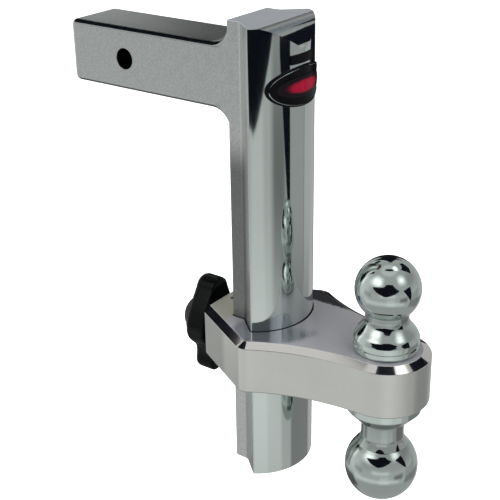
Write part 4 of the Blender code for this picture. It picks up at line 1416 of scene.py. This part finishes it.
def overhead_flag(material):
    half = Matrix.Diagonal(OVERHEAD_FLAG_HALF)
    turn = Matrix.Rotation(math.radians(OVERHEAD_FLAG_TURN_DEG), 2) @ half
    x, y, z = OVERHEAD_FLAG_CENTRE
    plan = [turn @ Vector(p) for p in circle(1.0, OVERHEAD_FLAG_STEPS)]
    points = [(x + u, y + v, z) for u, v in plan]
    flag_of("overhead", points, [tuple(range(OVERHEAD_FLAG_STEPS))], material)


def build_flags():
    """Black flags round the hitch, as a product studio places them."""
    colours = ((0.003, 0.003, 0.004), (0.005, 0.006, 0.008))
    material = stage_material("flag_cloth", colours, 900.0, (0.15, 0.35, 1.0), 0.004)
    for name, edges in FLAGS.items():
        round_flag(name, FLAG_CENTRE_X, FLAG_RADIUS, edges, material)
    behind = [(azimuth, BALL_FLAG_LOW, high) for azimuth, high in BALL_FLAG]
    round_flag("ball", BALL_X, BALL_FLAG_RADIUS, behind, material)
    overhead_flag(material)
    (x0, y0), (x1, y1) = SHANK_FLAG_LOW, SHANK_FLAG_HIGH
    corners = [(x0, y0), (x1, y0), (x1, y1), (x0, y1)]
    flag_of("shank", [(u, v, SHANK_FLAG_Z) for u, v in corners], [(0, 1, 2, 3)], material)


def floor_ring(radius, up):
    centre_x = (POST_LOW.x + DECK_HIGH.x) / 2
    return [(centre_x + u, v, FLOOR_Z + up) for u, v in circle(radius, FLOOR_STEPS)]


def pale_stage(name, points, faces, glow):
    """A pale part of the studio that reflections don't see."""
    colours = ((0.93, 0.93, 0.93), (0.95, 0.95, 0.95))
    obj = mesh_object(name, points, faces)
    obj.data.materials.append(stage_material(name, colours, 3.0, (1.0, 1.0, 1.0), glow))
    obj.visible_glossy = False
    return obj


def build_floor():
    """A wide pale floor, and a cove behind it that only the camera sees."""
    pale_stage("studio_floor", floor_ring(FLOOR_R, 0.0), [tuple(range(FLOOR_STEPS))], FLOOR_GLOW)
    section = ((5.9, 0.0), (6.4, 0.05), (6.8, 0.2), (7.05, 0.5), (7.2, 1.0), (7.2, 5.0))
    points = [p for away, up in section for p in floor_ring(away, up)]
    cove = pale_stage("studio_cove", points, skin(len(section), FLOOR_STEPS), COVE_GLOW)
    cove.visible_diffuse = False
    cove.visible_shadow = False


LIGHT_TARGET = Vector((0.10, 0.0, -0.12))


def area_light(name, place, size, power):
    """A soft light that points at the hitch's middle."""
    light = bpy.data.lights.new(name, "AREA")
    light.shape = "RECTANGLE"
    light.size, light.size_y = size
    light.energy = power
    obj = in_scene(name, light)
    obj.location = place
    aim = LIGHT_TARGET - Vector(place)
    obj.rotation_euler = aim.to_track_quat("-Z", "Y").to_euler()
    obj.visible_glossy = False


def build_lights():
    area_light("soft_key", (-0.55, -1.1, 1.25), (1.0, 0.8), 14)
    area_light("soft_fill", (1.35, -0.15, 1.05), (0.9, 0.9), 9)
    area_light("soft_top", (0.1, 0.2, 1.7), (1.6, 1.6), 16)


def build_camera():
    yaw = Matrix.Rotation(math.radians(CAMERA_YAW_DEG), 4, "Z")
    pitch = Matrix.Rotation(math.radians(90 - CAMERA_PITCH_DEG), 4, "X")
    roll = Matrix.Rotation(math.radians(CAMERA_ROLL_DEG), 4, "Z")
    camera = bpy.data.cameras.new("view")
    camera.lens = CAMERA_LENS_MM
    camera.sensor_width = CAMERA_SENSOR_MM
    obj = in_scene("view", camera)
    obj.matrix_world = Matrix.Translation(CAMERA_PLACE) @ yaw @ pitch @ roll
    bpy.context.scene.camera = obj


def main():
    plate = chrome()
    steel = plated_steel("zinc_plate", (0.64, 0.64, 0.61), 0.32)
    spring = plated_steel("spring_steel", (0.46, 0.46, 0.47), 0.28)
    build_post()
    build_deck()
    build_upper_ball(plate)
    build_lower_ball(plate)
    build_handle()
    build_dust_cap()
    build_housing(steel)
    build_badge(black_enamel(), red_enamel(), plate)
    dress_cad_nodes(steel, spring, plate)
    build_floor()
    build_flags()
    build_world()
    build_lights()
    build_camera()
    bpy.context.scene.view_settings.view_transform = "Standard"


main()
